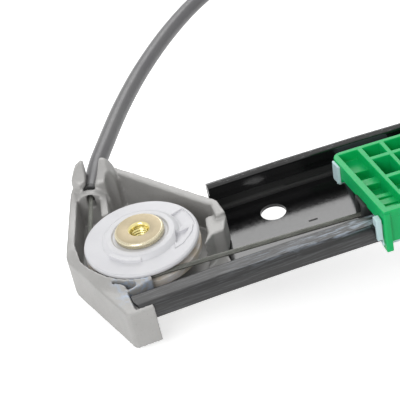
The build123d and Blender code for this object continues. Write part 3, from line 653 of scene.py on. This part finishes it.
# the upper cable lies on the web where the bow is highest
bed = BOW_MM - WEB_DEPTH + LIFT
first_end = on_rail(SLIDER_ARC, SLIDER_CABLE_Z)
turn_a = SLIDER_ARC / BOW_MM + np.arccos(bed / hypot(first_end[0], first_end[2] - BOW_Z))
turn_b = atan2(-leave[0], leave[2] - BOW_Z) - np.arccos(bed / hypot(leave[0], leave[2] - BOW_Z))
crest_turn, spread = (turn_a + turn_b) / 2, (turn_b - turn_a) / 2
crest = np.array((bed / cos(spread) * sin(crest_turn), CABLE_Y, BOW_Z + bed / cos(spread) * cos(crest_turn)))
flipped = [p * (-1, 1, 1) for p in inside + [corner, leave]]
upper_end = on_rail(SLIDER_ARC + CABLE_GAP, SLIDER_CABLE_Z)
upper_way = rounded_way(flipped + [crest, upper_end], radii + [bed], STEP)
for name, way in (("lower", lower_way), ("upper", upper_way)):
    print(name, "cable", round(float(np.linalg.norm(np.diff(way, axis=0), axis=1).sum()), 1), "mm")

# %% Twisted wires
CABLE_R, WIRES, PER_WIRE, LAY = 0.82, 12, 4, 8.0


def twisted_cable(name, way):
    """One closed skin round the way, with twelve lobes that turn once in each lay.

    A wire of radius w sits at radius c. At angle g from its middle the skin is at
    c cos g + sqrt(w^2 - c^2 sin^2 g). The lobes turn by 2 pi s / lay, s being the length so far.
    """
    wire = CABLE_R * sin(pi / WIRES) / (1 + sin(pi / WIRES))
    ring = CABLE_R - wire
    angle = np.arange(WIRES * PER_WIRE) * 2 * pi / (WIRES * PER_WIRE)
    offset = (angle + pi / WIRES) % (2 * pi / WIRES) - pi / WIRES
    reach = ring * np.cos(offset) + np.sqrt(np.maximum(wire ** 2 - (ring * np.sin(offset)) ** 2, 0))
    along = unit(np.gradient(way, axis=0))
    up = unit(np.array((0, 0, 1.0)) - along * along[:, 2:])
    side = np.cross(along, up)
    so_far = np.concatenate([[0], np.linalg.norm(np.diff(way, axis=0), axis=1).cumsum()])
    turned_by = angle[None, :] + 2 * pi * so_far[:, None] / LAY
    skin_points = way[:, None] + reach[None, :, None] * (
        np.cos(turned_by)[..., None] * side[:, None] + np.sin(turned_by)[..., None] * up[:, None])
    rows, columns = skin_points.shape[:2]
    piece = surface(name, skin_points.reshape(-1, 3) * MM, grid_with_ends(rows, columns), cable_steel)
    crown_height = (reach - reach.min()) / (reach.max() - reach.min())
    crown_of = piece.data.attributes.new("crown", "FLOAT", "POINT")
    crown_of.data.foreach_set("value", np.tile(crown_height, rows))
    return piece


for side_name, way in (("lower", lower_way), ("upper", upper_way)):
    cable = twisted_cable(side_name + "_wires", way)
    stand_in(cable, side_name + "_cable", "rail_and_heads")
    print(cable.name, len(cable.data.polygons), "quads")

# %% [markdown]
# ## The threaded bush
# The pulley turns on a steel bush that the door's screw goes through. Its thread is a groove that climbs one
# pitch in each turn, so the bore's radius depends on height and angle together. The whole bush is one grid:
# the closed outline of its section, carried once round the axle, with the groove added along the bore.

# %% Bush with thread
PITCH, MINOR_R, GROOVE, BORE, LEAD_IN = 1.0, 2.5, 0.5, (-14.2, 4.87), 0.6
PER_PITCH, ROUND = 8, 64
BUSH_OUTLINE = [(3.1, -14.9), (6.3, -14.9), (6.8, -14.5), (6.8, -14.0), (5.5, -14.0), (5.5, 3.97),
                (7.95, 3.97), (8.15, 4.15), (8.15, 5.30), (8.07, 5.50), (7.92, 5.70), (7.72, 5.87),
                (7.45, 5.97), (3.8, 5.97), (3.6, 5.9)]


def threaded_bush(name, matrix, mirrored):
    """Closed section round the axle, with the thread in its bore.

    There the radius is minor + groove * clip(1.25 (1 - |2 f - 1|) - 0.15, 0, 1), f being the fraction of
    z / pitch - angle / 2 pi: a ramp up and down, widened and then cut flat at its crest and its root.
    The groove fades out over the lead-in at both mouths.
    """
    heights = np.linspace(BORE[1], BORE[0], int((BORE[1] - BORE[0]) / PITCH * PER_PITCH) + 1)
    angle = np.linspace(0, 2 * pi, ROUND, endpoint=False)
    outline = np.array(BUSH_OUTLINE)
    radius, height = (np.repeat(outline[:, k:k + 1], ROUND, 1) for k in (0, 1))
    fraction = (heights[:, None] / PITCH - angle[None, :] / (2 * pi)) % 1.0
    cut = MINOR_R + GROOVE * np.clip(1.25 * (1 - np.abs(2 * fraction - 1)) - 0.15, 0, 1)
    mouth = np.minimum(np.minimum((BORE[1] - heights) / LEAD_IN, (heights - BORE[0]) / LEAD_IN), 1.0)
    radius = np.concatenate([radius, MINOR_R + (cut - MINOR_R) * mouth[:, None]])
    height = np.concatenate([height, np.repeat(heights[:, None], ROUND, 1)])
    points = np.stack([radius * np.cos(angle), radius * np.sin(angle), height], -1)
    faces = grid_faces(*radius.shape, True, flip=mirrored).tolist()
    return surface(name, placed(points.reshape(-1, 3) * MM, matrix), faces, bush_plate)


for side_name, matrix in HEADS.items():
    bush = threaded_bush(side_name + "_threaded_bush", matrix, side_name == "upper")
    stand_in(bush, side_name + "_pulley_bush", "rail_and_heads")
    print(bush.name, len(bush.data.polygons), "quads")

# %% [markdown]
# ## Building by adding and cutting
# A casting is easiest to think of as its mould was made: blocks are added, and cores take room away again.
# Each block is a loop of points carried from one height to another, or along the rail's bow, or round an
# axle. A list of steps then says what is added, cut or kept in common, and one Boolean modifier per step
# works the list off. Everything here is in millimetres and becomes metres at the end.

# %% Blocks
ADD, CUT, KEEP = "UNION", "DIFFERENCE", "INTERSECT"
UPRIGHT = Matrix()


def block(loops, frame=UPRIGHT, ring=False):
    """A closed mesh through a stack of loops, an array of rows, points and coordinates.

    A ring joins its last loop to the first; otherwise both ends are capped.
    """
    loops = np.array(loops, dtype=float)
    rows, columns = loops.shape[:2]
    faces = grid_faces(rows, columns, True).tolist() if ring else grid_with_ends(rows, columns)
    mesh = bpy.data.meshes.new("block")
    mesh.from_pydata(placed(loops.reshape(-1, 3), frame).tolist(), [], faces)
    shape = bmesh.new()
    shape.from_mesh(mesh)
    bmesh.ops.recalc_face_normals(shape, faces=shape.faces)
    shape.to_mesh(mesh)
    shape.free()
    return mesh


def rounded(outline, radii, steps=5):
    """A closed outline whose first corners get these radii, as arcs from tangent point to tangent point."""
    points = np.array(outline, dtype=float)
    result = []
    for i, point in enumerate(points):
        radius = radii[i] if i < len(radii) else 0
        if not radius:
            result.append(point[None])
            continue
        before, after = unit(points[i - 1] - point), unit(points[(i + 1) % len(points)] - point)
        half = np.arccos(np.clip(before @ after, -1, 1)) / 2
        middle = point + unit(before + after) * radius / np.sin(half)
        first, last = point + before * radius / np.tan(half), point + after * radius / np.tan(half)
        t = np.linspace(0, 1, steps)[:, None]
        spread = (first - middle) * (1 - t) + (last - middle) * t
        result.append(middle + unit(spread) * radius)
    return np.concatenate(result)


def slab(outline, low, high, frame=UPRIGHT, across="z", radii=()):
    """An outline in the plane across one axis, carried along that axis from low to high."""
    flat = rounded(outline, radii)
    loops = [np.insert(flat, "xyz".index(across), level, axis=1) for level in (low, high)]
    return block(loops, frame)


def box(low, high, frame=UPRIGHT):
    (x0, y0, z0), (x1, y1, z1) = low, high
    return slab([(x0, y0), (x1, y0), (x1, y1), (x0, y1)], z0, z1, frame)


def rod(x, y, radius, low, high, frame=UPRIGHT, sides=72):
    """A cylinder: the loop is centre + radius (cos a, sin a)."""
    across, along = circle(sides)
    return slab(np.stack([x + radius * across, y + radius * along], -1), low, high, frame)


def turned_ring(profile, sides=120):
    """A closed (radius, height) profile carried round Z: each of its points becomes a circle."""
    across, along = circle(sides)
    circles = [np.stack([r * across, r * along, np.full(sides, z)], -1) for r, z in profile]
    return block(circles, ring=True)


def along_bow(outline, start, end, step=8):
    """A (y, height over the track) outline carried along the bow from arc to arc."""
    y, height = np.array(outline, dtype=float).T
    turn = np.linspace(start, end, max(2, int(abs(end - start) / step) + 1)) / BOW_MM
    reach = BOW_MM + height
    return block([np.stack([reach * sin(t), y, BOW_Z + reach * cos(t)], -1) for t in turn])


# %% Carving
def carved(base, steps):
    """The base after every (operation, block) step in turn."""
    work = bpy.data.objects.new("work", base)
    bpy.context.scene.collection.objects.link(work)
    tools = []
    for operation, tool_mesh in steps:
        tool = bpy.data.objects.new("tool", tool_mesh)
        bpy.context.scene.collection.objects.link(tool)
        modifier = work.modifiers.new(operation, "BOOLEAN")
        modifier.operation, modifier.solver, modifier.object = operation, "MANIFOLD", tool
        tools.append(tool)
    ready = work.evaluated_get(bpy.context.evaluated_depsgraph_get())
    result = bpy.data.meshes.new_from_object(ready)
    for piece in [work] + tools:
        bpy.data.objects.remove(piece)
    return result


# %% [markdown]
# ## Soft edges
# A casting or a moulding has no knife edges: the metal has to fill the mould's corners and leave it again.
# The carved mesh is merged, its flat faces are joined, and a Bevel modifier rounds what is left. The head
# and the rubber stops are rounder still and their forms run into each other, so they are recast instead: a
# Remesh modifier wraps them in small even faces and a Smooth modifier rubs these down, which fills the inner
# corners as well.

# %% Soft piece
MERGE_MM, FLAT_ANGLE, EDGE_ANGLE = 0.01, radians(0.6), radians(25)


def soft_piece(name, mesh, node, width, segments=2, matrix=UPRIGHT, mirrored=False, recast=False):
    """A piece that stands for a node: the mesh in mm, placed, and softened.

    Its edges are bevelled, width mm wide in so many segments. If recast, the whole is wrapped in faces of
    that width and rubbed down as many times.
    """
    shape = bmesh.new()
    shape.from_mesh(mesh)
    bmesh.ops.remove_doubles(shape, verts=shape.verts, dist=MERGE_MM)
    bmesh.ops.dissolve_limit(shape, angle_limit=FLAT_ANGLE, verts=shape.verts, edges=shape.edges)
    bmesh.ops.transform(shape, matrix=matrix @ Matrix.Scale(MM, 4), verts=shape.verts)
    if mirrored:
        bmesh.ops.reverse_faces(shape, faces=shape.faces)
    made = bpy.data.meshes.new(name)
    shape.to_mesh(made)
    shape.free()
    piece = bpy.data.objects.new(name, made)
    bpy.context.scene.collection.objects.link(piece)
    if recast:
        even = piece.modifiers.new("even faces", "REMESH")
        even.mode, even.voxel_size, even.use_smooth_shade = "VOXEL", width * MM, True
        rub = piece.modifiers.new("rubbed down", "SMOOTH")
        rub.factor, rub.iterations = 0.5, segments
    else:
        bevel = piece.modifiers.new("edges", "BEVEL")
        bevel.width, bevel.segments, bevel.limit_method = width * MM, segments, "ANGLE"
        bevel.angle_limit, bevel.use_clamp_overlap, bevel.harden_normals = EDGE_ANGLE, False, True
    made.shade_smooth()
    wear(piece, WEAR[node])
    stand_in(piece, node, frame["nodes"][node]["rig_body"])
    print(name, len(made.polygons), "faces before rounding")


# %% [markdown]
# ## The cast head
# The head is a dish with a floor. One wall follows the pulley round, the long one closes the far side, and
# a nose on the right holds the end of the rail's web. The cable comes out of a tower: a front wall with a
# mouth, a bed behind it, and two leaning horns that clasp the sheath.

# %% Head's outlines
FLOOR_TOP, FLOOR_BOTTOM, TRACK_END, SHEATH_R = -11.6, -14.0, -10.9, 3.0
TOWER = Matrix.Translation((*TOWER_END, 0)) @ Matrix(
    ((-sin(TOWER_TURN), 0, cos(TOWER_TURN)), (cos(TOWER_TURN), 0, sin(TOWER_TURN)), (0, 1, 0))).to_4x4()
WALLS = [(-5.6, -32.4), (-14.6, -32.4), (-15.4, -29.0), (-25.2, 4.5), (-14.9, 37.6), (-11.6, 44.0),
         (1.6, 44.4), (27.0, 10.4), (28.4, 8.2), (28.9, 1.0), (25.3, 0.2), (25.3, -20.7), (-5.6, -20.7)]
WALL_RADII = [0, 1.6, 2.0, 11.0, 3.0, 1.5, 1.0, 0, 1.2]
POCKET = [(-2.5, -25.0), (30.0, -25.0), (30.0, 0.2), (25.4, 0.2), (25.8, 7.5), (24.7, 8.3), (3.2, 37.9),
          (-4.2, 34.9), (-5.2, 32.3), (-13.0, 35.3), (-20.4, 11.0), (-21.0, 0.4), (-20.1, -3.3),
          (-18.1, -7.9), (-2.5, -18.4)]
CORE_SLOT = [(-14.7, -14.5), (-13.7, -14.8), (-11.2, -16.8), (-7.9, -18.5), (-7.8, -20.3), (-11.2, -20.3),
             (-11.0, -18.9), (-12.3, -17.3), (-14.6, -15.9)]
NOSE = [(17.9, -9.5), (20.0, -7.8), (22.0, -6.0), (26.0, -5.7), (28.9, 1.0), (27.0, 3.2), (23.0, 3.6),
        (22.2, 2.9), (21.2, -1.9), (20.7, -4.6)]
LEFT_HORN = [(6.4, 2.0), (6.2, 4.2), (5.0, 6.4), (2.9, 8.1), (2.2, 7.7), (1.0, 5.6), (1.4, 1.9)]
LEFT_PLAN = [(3.4, -0.3), (6.6, 2.6), (6.6, 8.6), (2.1, 8.6), (0.9, 1.0)]
RIGHT_HORN = [(-1.25, 1.5), (-3.0, 5.4), (-3.5, 7.8), (-4.3, 8.3), (-5.9, 7.6), (-7.3, 5.6), (-7.9, 3.4),
              (-8.3, 0.0)]
RIGHT_PLAN = [(-1.0, 0.2), (-3.2, -0.2), (-5.6, 0.2), (-5.9, 2.8), (-8.4, 4.4), (-8.4, 8.6), (-1.0, 8.6)]
HORN_SIDE = [(-14, -0.4), (3.0, -0.4), (4.6, 0.7), (7.0, 4.6), (8.4, 7.2), (8.4, 8.6), (-14, 8.6)]
MOUTH_WALL = [(5.4, -1.4), (2.6, 1.5), (1.4, 1.9), (-1.3, 1.9), (-3.4, 1.2), (-6.4, -2.4)]


def tower_block(outline, front, back):
    """A block of the tower, standing on the floor under its (across, up) outline."""
    feet = [(outline[0][0], FLOOR_BOTTOM)] + outline + [(outline[-1][0], FLOOR_BOTTOM)]
    return slab(feet, front, back, TOWER)


def horn(outline, footprint):
    """A fin that clasps the sheath, kept inside its footprint and its sloping side view."""
    side = slab(HORN_SIDE, -20, 20, TOWER, "x")
    column = slab(footprint, -20, 20, TOWER, "y")
    return carved(tower_block(outline, -0.4, 8.6), [(KEEP, side), (KEEP, column)])


# %% Head carved
DISH_R, BOSS_R, AXLE_R, OVER = 19.45, 8.0, 5.5, 5
COLLAR = [(19.0, -1.0), (19.0, 1.7), (20.3, 1.7), (23.2, 0.3), (24.6, 0.0), (24.6, -1.0)]
COLLAR_SIDE = [(9.5, -1), (9.5, 0), (2.5, 1.8), (-25.0, 1.8), (-25.0, -1)]
LONG_WALL = [(-2.0, 44.3), (1.6, 44.3), (26.9, 10.4), (24.7, 8.3), (3.2, 37.9), (-2.0, 42.0)]
LONG_WALL_SIDE = [(46, -1), (46, 1.3), (36, 1.2), (12, 0), (12, -1)]

collar = carved(turned_ring(COLLAR), [(KEEP, slab(COLLAR_SIDE, -30, -2.5, across="x")),
                                      (KEEP, slab(WALLS, -1, 3, radii=WALL_RADII))])
long_wall = carved(slab(LONG_WALL, -1, 3), [(KEEP, slab(LONG_WALL_SIDE, -5, 35, across="x"))])
dish = [(ADD, collar), (ADD, long_wall), (CUT, rod(0, 0, DISH_R, FLOOR_TOP, OVER, sides=96)),
        (CUT, slab(POCKET, FLOOR_TOP, 5.1)), (CUT, slab(CORE_SLOT, FLOOR_BOTTOM - 1, OVER))]
# the nose, the slot in it for the rail's web, and the shelf under the web
nose = [(ADD, slab(NOSE, FLOOR_TOP - 0.5, -1.5)), (CUT, box((25.3, -14, -13.25), (40, 12, -11.4))),
        (ADD, box((19.6, -13.5, -15.4), (33.0, 6.0, -13.25))),
        (ADD, box((19.62, -13.48, -15.3), (25.3, 5.98, FLOOR_TOP + 0.02)))]
# front wall, bed and horns; the sheath's seat and the cable's way out; a rib on the floor
tower = [(ADD, tower_block(MOUTH_WALL, -3.1, -0.25)),
         (ADD, tower_block([(5.0, -2.0), (-5.8, -2.0)], -0.3, 8.55)),
         (ADD, horn(LEFT_HORN, LEFT_PLAN)), (ADD, horn(RIGHT_HORN, RIGHT_PLAN)),
         (CUT, rod(0, CABLE_Z, SHEATH_R + 0.05, 0, 12, TOWER, 40)),
         (CUT, rod(-0.2, 0.1, 1.3, -3.5, 0.5, TOWER, 24)),
         (CUT, box((-1.5, -3.7, -3.5), (1.1, 0.1, 0.5), TOWER)),
         (ADD, slab([(-6.2, 32.0), (-3.7, 32.0), (-5.7, 21.4), (-8.4, 21.0)], FLOOR_TOP - 0.1, -0.4))]
axle = [(ADD, rod(0, 0, BOSS_R, FLOOR_TOP - 0.1, -5.82)), (CUT, rod(0, 0, AXLE_R, FLOOR_BOTTOM - 1, 0))]
# slots for the near track's lip, its top and its inner wall
track_slots = [(CUT, box((TRACK_END - 0.3, *low), high)) for low, high in (
    ((-30.56, -6.06), (0, -29.24, 1)), ((-30.56, -1.26), (0, -21.4, 1.1)),
    ((-23.75, FLOOR_BOTTOM - 1), (26, -20.95, 1.2)))]
head = carved(slab(WALLS, FLOOR_BOTTOM, 0, radii=WALL_RADII), dish + nose + tower + axle + track_slots)


def on_both_heads(name, mesh, node, *softness, recast=False):
    """The same mesh as a soft piece on the lower head and, mirrored, on the upper one."""
    for side, matrix in HEADS.items():
        soft_piece(f"{side}_{name}", mesh, f"{side}_{node}", *softness, matrix, side == "upper", recast)


on_both_heads("head_casting", head, "bracket", 0.42, 4, recast=True)

# %% [markdown]
# ## The pulley
# A disc with a groove, turned from one profile. Its upper face slopes from the rim up to a ring, and the
# mould leaves two sunk pockets, a raised border and a bare raised plate. Six spokes stand underneath.

# %% Pulley carved
HALF_RIM, HALF_ROOT, RIM_R, BOTTOM = 1.3, 0.85, 19.0, -5.5
PULLEY_PROFILE = [(5.55, BOTTOM), (8.4, BOTTOM), (8.4, -4.5), (18.6, -4.5), (RIM_R, -4.1),
                  (RIM_R, CABLE_Z - HALF_RIM), (16.4, CABLE_Z - HALF_ROOT), (16.4, CABLE_Z + HALF_ROOT),
                  (RIM_R, CABLE_Z + HALF_RIM), (RIM_R, 1.5), (18.8, 2.0), (18.3, 2.35), (12.8, 2.75),
                  (12.2, 3.6), (11.2, 4.2), (9.5, 4.3), (9.1, 3.65), (5.55, 3.65)]


def fan(first, last, reach=26.0):
    """A sector of a disc between two angles in degrees."""
    steps = np.radians(np.linspace(first, last, 6))
    return [(0.0, 0.0)] + [(reach * cos(a), reach * sin(a)) for a in steps]


def washer(inner, outer, low, high):
    return turned_ring([(inner, low), (outer, low), (outer, high), (inner, high)])


SPOKE = [(5, -1.1), (18, -1.1), (18, 1.1), (5, 1.1)]
BORDER = [(10.4, -3.2), (8.2, -11.9), (11.4, -10.6), (15.6, -6.4), (17.1, -3.2)]
IN_BORDER = [(10.6, -4.6), (9.4, -9.4), (12.9, -7.4), (15.4, -4.0)]
pocket_sector = carved(washer(13.2, 17.9, 1.85, 4.0), [(KEEP, slab(fan(-9, 24), 0, 5))])
bare_plate = carved(washer(9.6, 13.2, 2.2, 3.9), [(KEEP, slab(fan(-158, -105), 0, 5))])
hollow = carved(washer(9.8, 15.6, -4.8, -2.9), [
    (CUT, slab(SPOKE, -5, 0, Matrix.Rotation(number * pi / 3, 4, "Z"))) for number in range(6)])
pulley = carved(turned_ring(PULLEY_PROFILE), [
    (CUT, pocket_sector), (ADD, bare_plate), (ADD, slab(BORDER, 1.8, 2.85)), (CUT, slab(IN_BORDER, 1.85, 5)),
    (CUT, hollow)])
on_both_heads("moulded_pulley", pulley, "pulley", 0.16, 2)

# %% [markdown]
# ## The slider
# The slider is a thick plate made light: a core leaves a lattice of pockets whose walls lean with the end
# wall and stand straight in the middle. Two hooked legs at each end hold the near track's edge.

# %% Slider's measures
SLIDER = Matrix.Translation((0, 0, BOW_Z)) @ Matrix.Rotation(SLIDER_ARC / BOW_MM, 4, "Y") @ (
    Matrix.Translation((0, 0, BOW_MM)))
SLIDER_HALF, SLIDER_TOP, UNDERSIDE, NEAR_FACE = 49.8, 6.6, 1.1, -31.45
LEAN, END_LEAN, LEAN_FROM = 0.124, 0.105, 6.6
CLAMP_X, CLAMP_Y, SEAT_Z, JAW_Z, NIPPLE_X, PAD_RANGE = -3.0, -7.6, 6.3, 14.3, 5.0, (24.0, 42.0)
# each trough across the slider: its left side and width
TROUGHS = [(-47.3, 6.5), (-39.0, 6.0)] + [(-31.4 + 7.8 * i, 6.0) for i in range(10)]
# each pocket in a trough: its far and near side and its floor. The first trough is stepped finer
ROWS = [(2.6, -3.2, 1.0), (-4.9, -14.4, -4.9), (-16.2, -23.6, 1.9), (-25.4, -30.7, 2.2)]
END_CELLS = [(2.6, -4.6, 2.4), (-4.6, -9.4, -0.6), (-9.4, -13.0, 2.6), (-13.0, -19.0, 0.0),
             (-19.0, -20.9, 2.6), (-20.9, -21.9, 1.5), (-21.9, -24.8, 2.6), (-24.8, -25.8, 1.7),
             (-25.8, -26.8, 2.6), (-26.8, -28.2, 1.7), (-28.2, -30.7, 2.6)]
BODY = [(4.1, SLIDER_TOP), (-32.9, SLIDER_TOP), (-32.9, 4.0), (-32.5, 4.0), (-32.5, -6.0), (NEAR_FACE, -6.0),
        (NEAR_FACE, UNDERSIDE), (-20.6, UNDERSIDE), (-20.6, -6.5), (4.1, -6.5)]
LEG = [(-33.4, 5.8), (-33.4, -9.1), (-28.6, -9.1), (-28.6, -7.6), (NEAR_FACE, -7.6), (NEAR_FACE, 5.8)]
BRIDGE = [(-47.4, -4.0), (-39.4, -4.0), (-39.4, -10.6), (-46.8, -10.6)]


def end_x(y):
    """Outer face of an end wall, from the slider's centre, this far across it."""
    return SLIDER_HALF - END_LEAN * (LEAN_FROM - y)


def cell(left, width, far, near, floor):
    """One pocket of the lattice; the lean fades from the end wall to the centre."""
    fade = -(left + width / 2) / SLIDER_HALF
    corners = [(x + LEAN * fade * (ROWS[0][0] - y), y)
               for x, y in ((left, far), (left + width, far), (left + width, near), (left, near))]
    return slab(corners, floor, SLIDER_TOP + 1, SLIDER)


def oblong(x0, x1, y0, y1):
    return [(x0, y1), (x0, y0), (x1, y0), (x1, y1)]


def at_end(end, near, far):
    """Arcs of a stretch between two distances from the slider's centre, at one end of it."""
    return sorted((SLIDER_ARC + end * near, SLIDER_ARC + end * far))


# %% Slider carved
low_arc, high_arc = SLIDER_ARC - SLIDER_HALF, SLIDER_ARC + SLIDER_HALF
legs = [(ADD, along_bow(LEG, *at_end(end, near, far))) for end in (-1, 1) for near, far in
        ((43.4, 45.7), (24.0, 27.0))]
# the plate trimmed to its leaning ends, room under them, and a bridge for the first trough to stand on
trimmed = [(KEEP, slab([(end * end_x(y), y) for end, y in ((-1, 4.1), (-1, -33.4), (1, -33.4), (1, 4.1))],
                       -12, 8, SLIDER, radii=[2.6, 0.8, 0.8, 2.6]))]
under_ends = [(CUT, along_bow([(-2.9, -12), (-2.9, UNDERSIDE), (-20.9, UNDERSIDE), (-20.9, -12)],
                              *at_end(end, 42.5, 51))) for end in (-1, 1)]
bridge = [(ADD, slab(BRIDGE, END_CELLS[1][2] - 1.1, 2.0, SLIDER))]
lattice = [(CUT, cell(*TROUGHS[0], *row)) for row in END_CELLS]
lattice += [(CUT, cell(left, width, *row)) for left, width in TROUGHS[1:] for number, row in enumerate(ROWS)
            if left + width <= SLIDER_HALF - 4.0 and not (number in (1, 2) and left + width > -16)]
# seat and stop wall of the glass clamp, the recess for its lower pad, and the screw's boss
clamp = [(ADD, slab(oblong(-14, 45, -25.5, 1.0), 1.0, SEAT_Z, SLIDER, radii=[2] * 4)),
         (ADD, slab(oblong(-14, -10.5, -25.5, 1.0), 1.0, JAW_Z - 0.1, SLIDER, radii=[1] * 4)),
         (CUT, slab(oblong(4.9, 44.1, -24.6, 0.1), SEAT_Z, SEAT_Z + 1, SLIDER, radii=[1.6] * 4)),
         (ADD, rod(CLAMP_X, CLAMP_Y, 6.0, -6.0, JAW_Z - 0.1, SLIDER)),
         (ADD, rod(CLAMP_X, CLAMP_Y, 8.4, -6.4, -1.0, SLIDER))]
# the cable's slot along the underside, between the two nipples' pockets
slot = [(ADD, rod(x, CABLE_Y, 4.0, -7.4, 1.2, SLIDER, 40)) for x in (-NIPPLE_X, NIPPLE_X)]
slot.append((CUT, along_bow([(CABLE_Y + 1.2, -13), (CABLE_Y + 1.2, -1.3), (CABLE_Y - 1.2, -1.3),
                             (CABLE_Y - 1.2, -13)], low_arc - 5, high_arc + 5)))
slot += [(CUT, rod(x, CABLE_Y, 2.95, -9, -0.6, SLIDER, 40)) for x in (-NIPPLE_X, NIPPLE_X)]
NUT_HALF = 5.05
screw_hole = [(CUT, rod(CLAMP_X, CLAMP_Y, 3.1, -8, 16, SLIDER, 40)),
              (CUT, box((CLAMP_X - NUT_HALF, CLAMP_Y - NUT_HALF, -7.2),
                        (CLAMP_X + NUT_HALF, CLAMP_Y + NUT_HALF, -2.8), SLIDER))]
pad_room = [(CUT, along_bow([(-2.9, -12), (-2.9, -0.5), (7.0, -0.5), (7.0, -12)],
                            *at_end(end, PAD_RANGE[0], SLIDER_HALF + 2))) for end in (-1, 1)]
slider = carved(along_bow(BODY, low_arc, high_arc),
                legs + trimmed + under_ends + bridge + lattice + clamp + slot + screw_hole + pad_room)
soft_piece("moulded_slider", slider, "slider_body", 0.22, 2)

# %% [markdown]
# ## Pads and stops
# The slider's own plastic never touches the rail. White pads clipped to both sides do, and each shows as an
# ear beside the end wall. A block of black rubber round the cable takes the knock at the end of the travel.

# %% Pads and stops carved
WRAP = [(-22.9, 1.1), (NEAR_FACE, 1.1), (NEAR_FACE, -7.6), (-28.6, -7.6), (-28.6, -6.35), (-30.82, -6.35),
        (-30.82, 0.32), (-22.9, 0.32)]
EAR = [(-29.2, 0.3), (-29.2, 3.6), (-32.3, 3.6), (-32.3, -4.4), (-30.8, -4.4), (-30.8, 0.3)]
ARM = [(-2.7, -0.5), (6.9, -0.5), (8.2, -1.4), (15.6, -5.7), (18.3, -5.7), (18.3, -11.1), (10.5, -11.1),
       (7.2, -4.5), (-2.7, -4.5)]


def pair(shape_at):
    """Both ends' meshes as one: the shape at -1 and at +1."""
    return carved(shape_at(-1), [(ADD, shape_at(1))])


def near_pad(end):
    ear = along_bow(EAR, *at_end(end, 46.15, 48.1))
    return carved(along_bow(WRAP, *at_end(end, PAD_RANGE[0], 46.2)), [(ADD, ear)])


def beside(end, plan, low, high):
    """A block at one end of the slider, whose plan is drawn for the end at +X."""
    return slab([(end * x, y) for x, y in plan], low, high, SLIDER)


def far_pad(end):
    strip = along_bow([(-2.7, -1.2), (1.6, -1.2), (1.6, -0.5), (-2.7, -0.5)], *at_end(end, 41.9, 49.7))
    face = [(end_x(y) + 0.02, y) for y in (1.6, -2.9)]
    ear = beside(end, face + [(49.8, -2.5), (50.2, 0.3), (50.1, 1.6)], -1.6, 5.2)
    return carved(along_bow(ARM, *at_end(end, *PAD_RANGE)), [(ADD, strip), (ADD, ear)])


def stop_block(end):
    inner, outer, near, far = 44.4, 48.6, -21.2, -13.8
    base = beside(end, [(inner, near), (outer, near), (outer, far), (inner, far)], -7.2, 1.0)
    tip = [(end_x(y) + 0.05, y) for y in (far, near)]
    lip = beside(end, [(outer, far), *tip, (outer, near)], 0.2, 1.5)
    below, above = CABLE_Y - 1.4, CABLE_Y + 1.4
    way_for_cable = beside(end, [(40, below), (52, below), (52, above), (40, above)], -8, 0.1)
    return carved(base, [(ADD, lip), (CUT, way_for_cable)])


soft_piece("white_near_pads", pair(near_pad), "near_guide_pads", 0.25, 2)
soft_piece("white_far_pads", pair(far_pad), "far_guide_pads", 0.25, 2)
soft_piece("rubber_stops", pair(stop_block), "slider_bumpers", 0.7, 3, recast=True)

# %% [markdown]
# ## Floor and light
# The regulator lies on its back on a pale table. The table is seen white, as the backdrop is, but it still
# darkens a little where the rail keeps the light from it. A soft lamp behind and above gives the black
# paint its long pale reflection, one at the left front lights the near walls, and a weak one overhead opens
# up the shadows. Each lamp has an offset from the lower head and a size, both in metres, and its watts.

# %% Floor
TABLE_M, BELOW_M, TABLE_GLOW, WHITE = 6.0, 0.0002, 0.62, (1, 1, 1, 1)
bpy.ops.mesh.primitive_plane_add(size=TABLE_M, location=(0, 0, cad_box[0][2] - BELOW_M))
floor = bpy.context.object
floor.name = "floor"
table = new_material("table", Base_Color=(0.86, 0.86, 0.86), Roughness=0.9, Emission_Color=WHITE[:3])
tree = table.node_tree
rays = add(tree, "ShaderNodeLightPath").outputs
seen = maths(tree, "MAXIMUM", rays["Is Camera Ray"], rays["Is Glossy Ray"])
join(tree, maths(tree, "MULTIPLY", seen, TABLE_GLOW), shader_of(table).inputs["Emission Strength"])
wear(floor, table)

# %% World and lamps
AMBIENT, BACKDROP = 0.5, 1.0
LAMPS = {"behind": ((0.25, 1.1, 0.85), 0.75, 6.0), "left_front": ((-0.9, -0.9, 0.8), 0.9, 10.0),
         "overhead": ((0.2, -0.1, 1.3), 0.8, 0.8)}
world = bpy.data.worlds.new("studio")
bpy.context.scene.world = world
world.use_nodes = True
sky = world.node_tree
surround = sky.nodes["Background"]
surround.inputs["Color"].default_value = WHITE
rays = add(sky, "ShaderNodeLightPath").outputs
direct = maths(sky, "MAXIMUM", rays["Is Camera Ray"], rays["Is Glossy Ray"])
strength = add(sky, "ShaderNodeMapRange", in_1=0.0, in_2=1.0, in_3=AMBIENT, in_4=BACKDROP)
join(sky, maths(sky, "MAXIMUM", direct, rays["Is Transmission Ray"]), strength.inputs["Value"])
wire(sky, (strength, "Result", surround, "Strength"))


def softbox(name, offset, size, watts):
    """A square lamp at this offset from the lower head, facing it."""
    lamp = bpy.data.lights.new(name, "AREA")
    lamp.shape, lamp.size, lamp.energy = "SQUARE", size, watts
    place = bpy.data.objects.new(name, lamp)
    place.location = LOWER.translation + Vector(offset)
    place.rotation_euler = (-Vector(offset)).to_track_quat("-Z", "Y").to_euler()
    bpy.context.scene.collection.objects.link(place)


for name, (offset, size, watts) in LAMPS.items():
    softbox(name, offset, size, watts)
bpy.context.scene.view_settings.view_transform = "Standard"
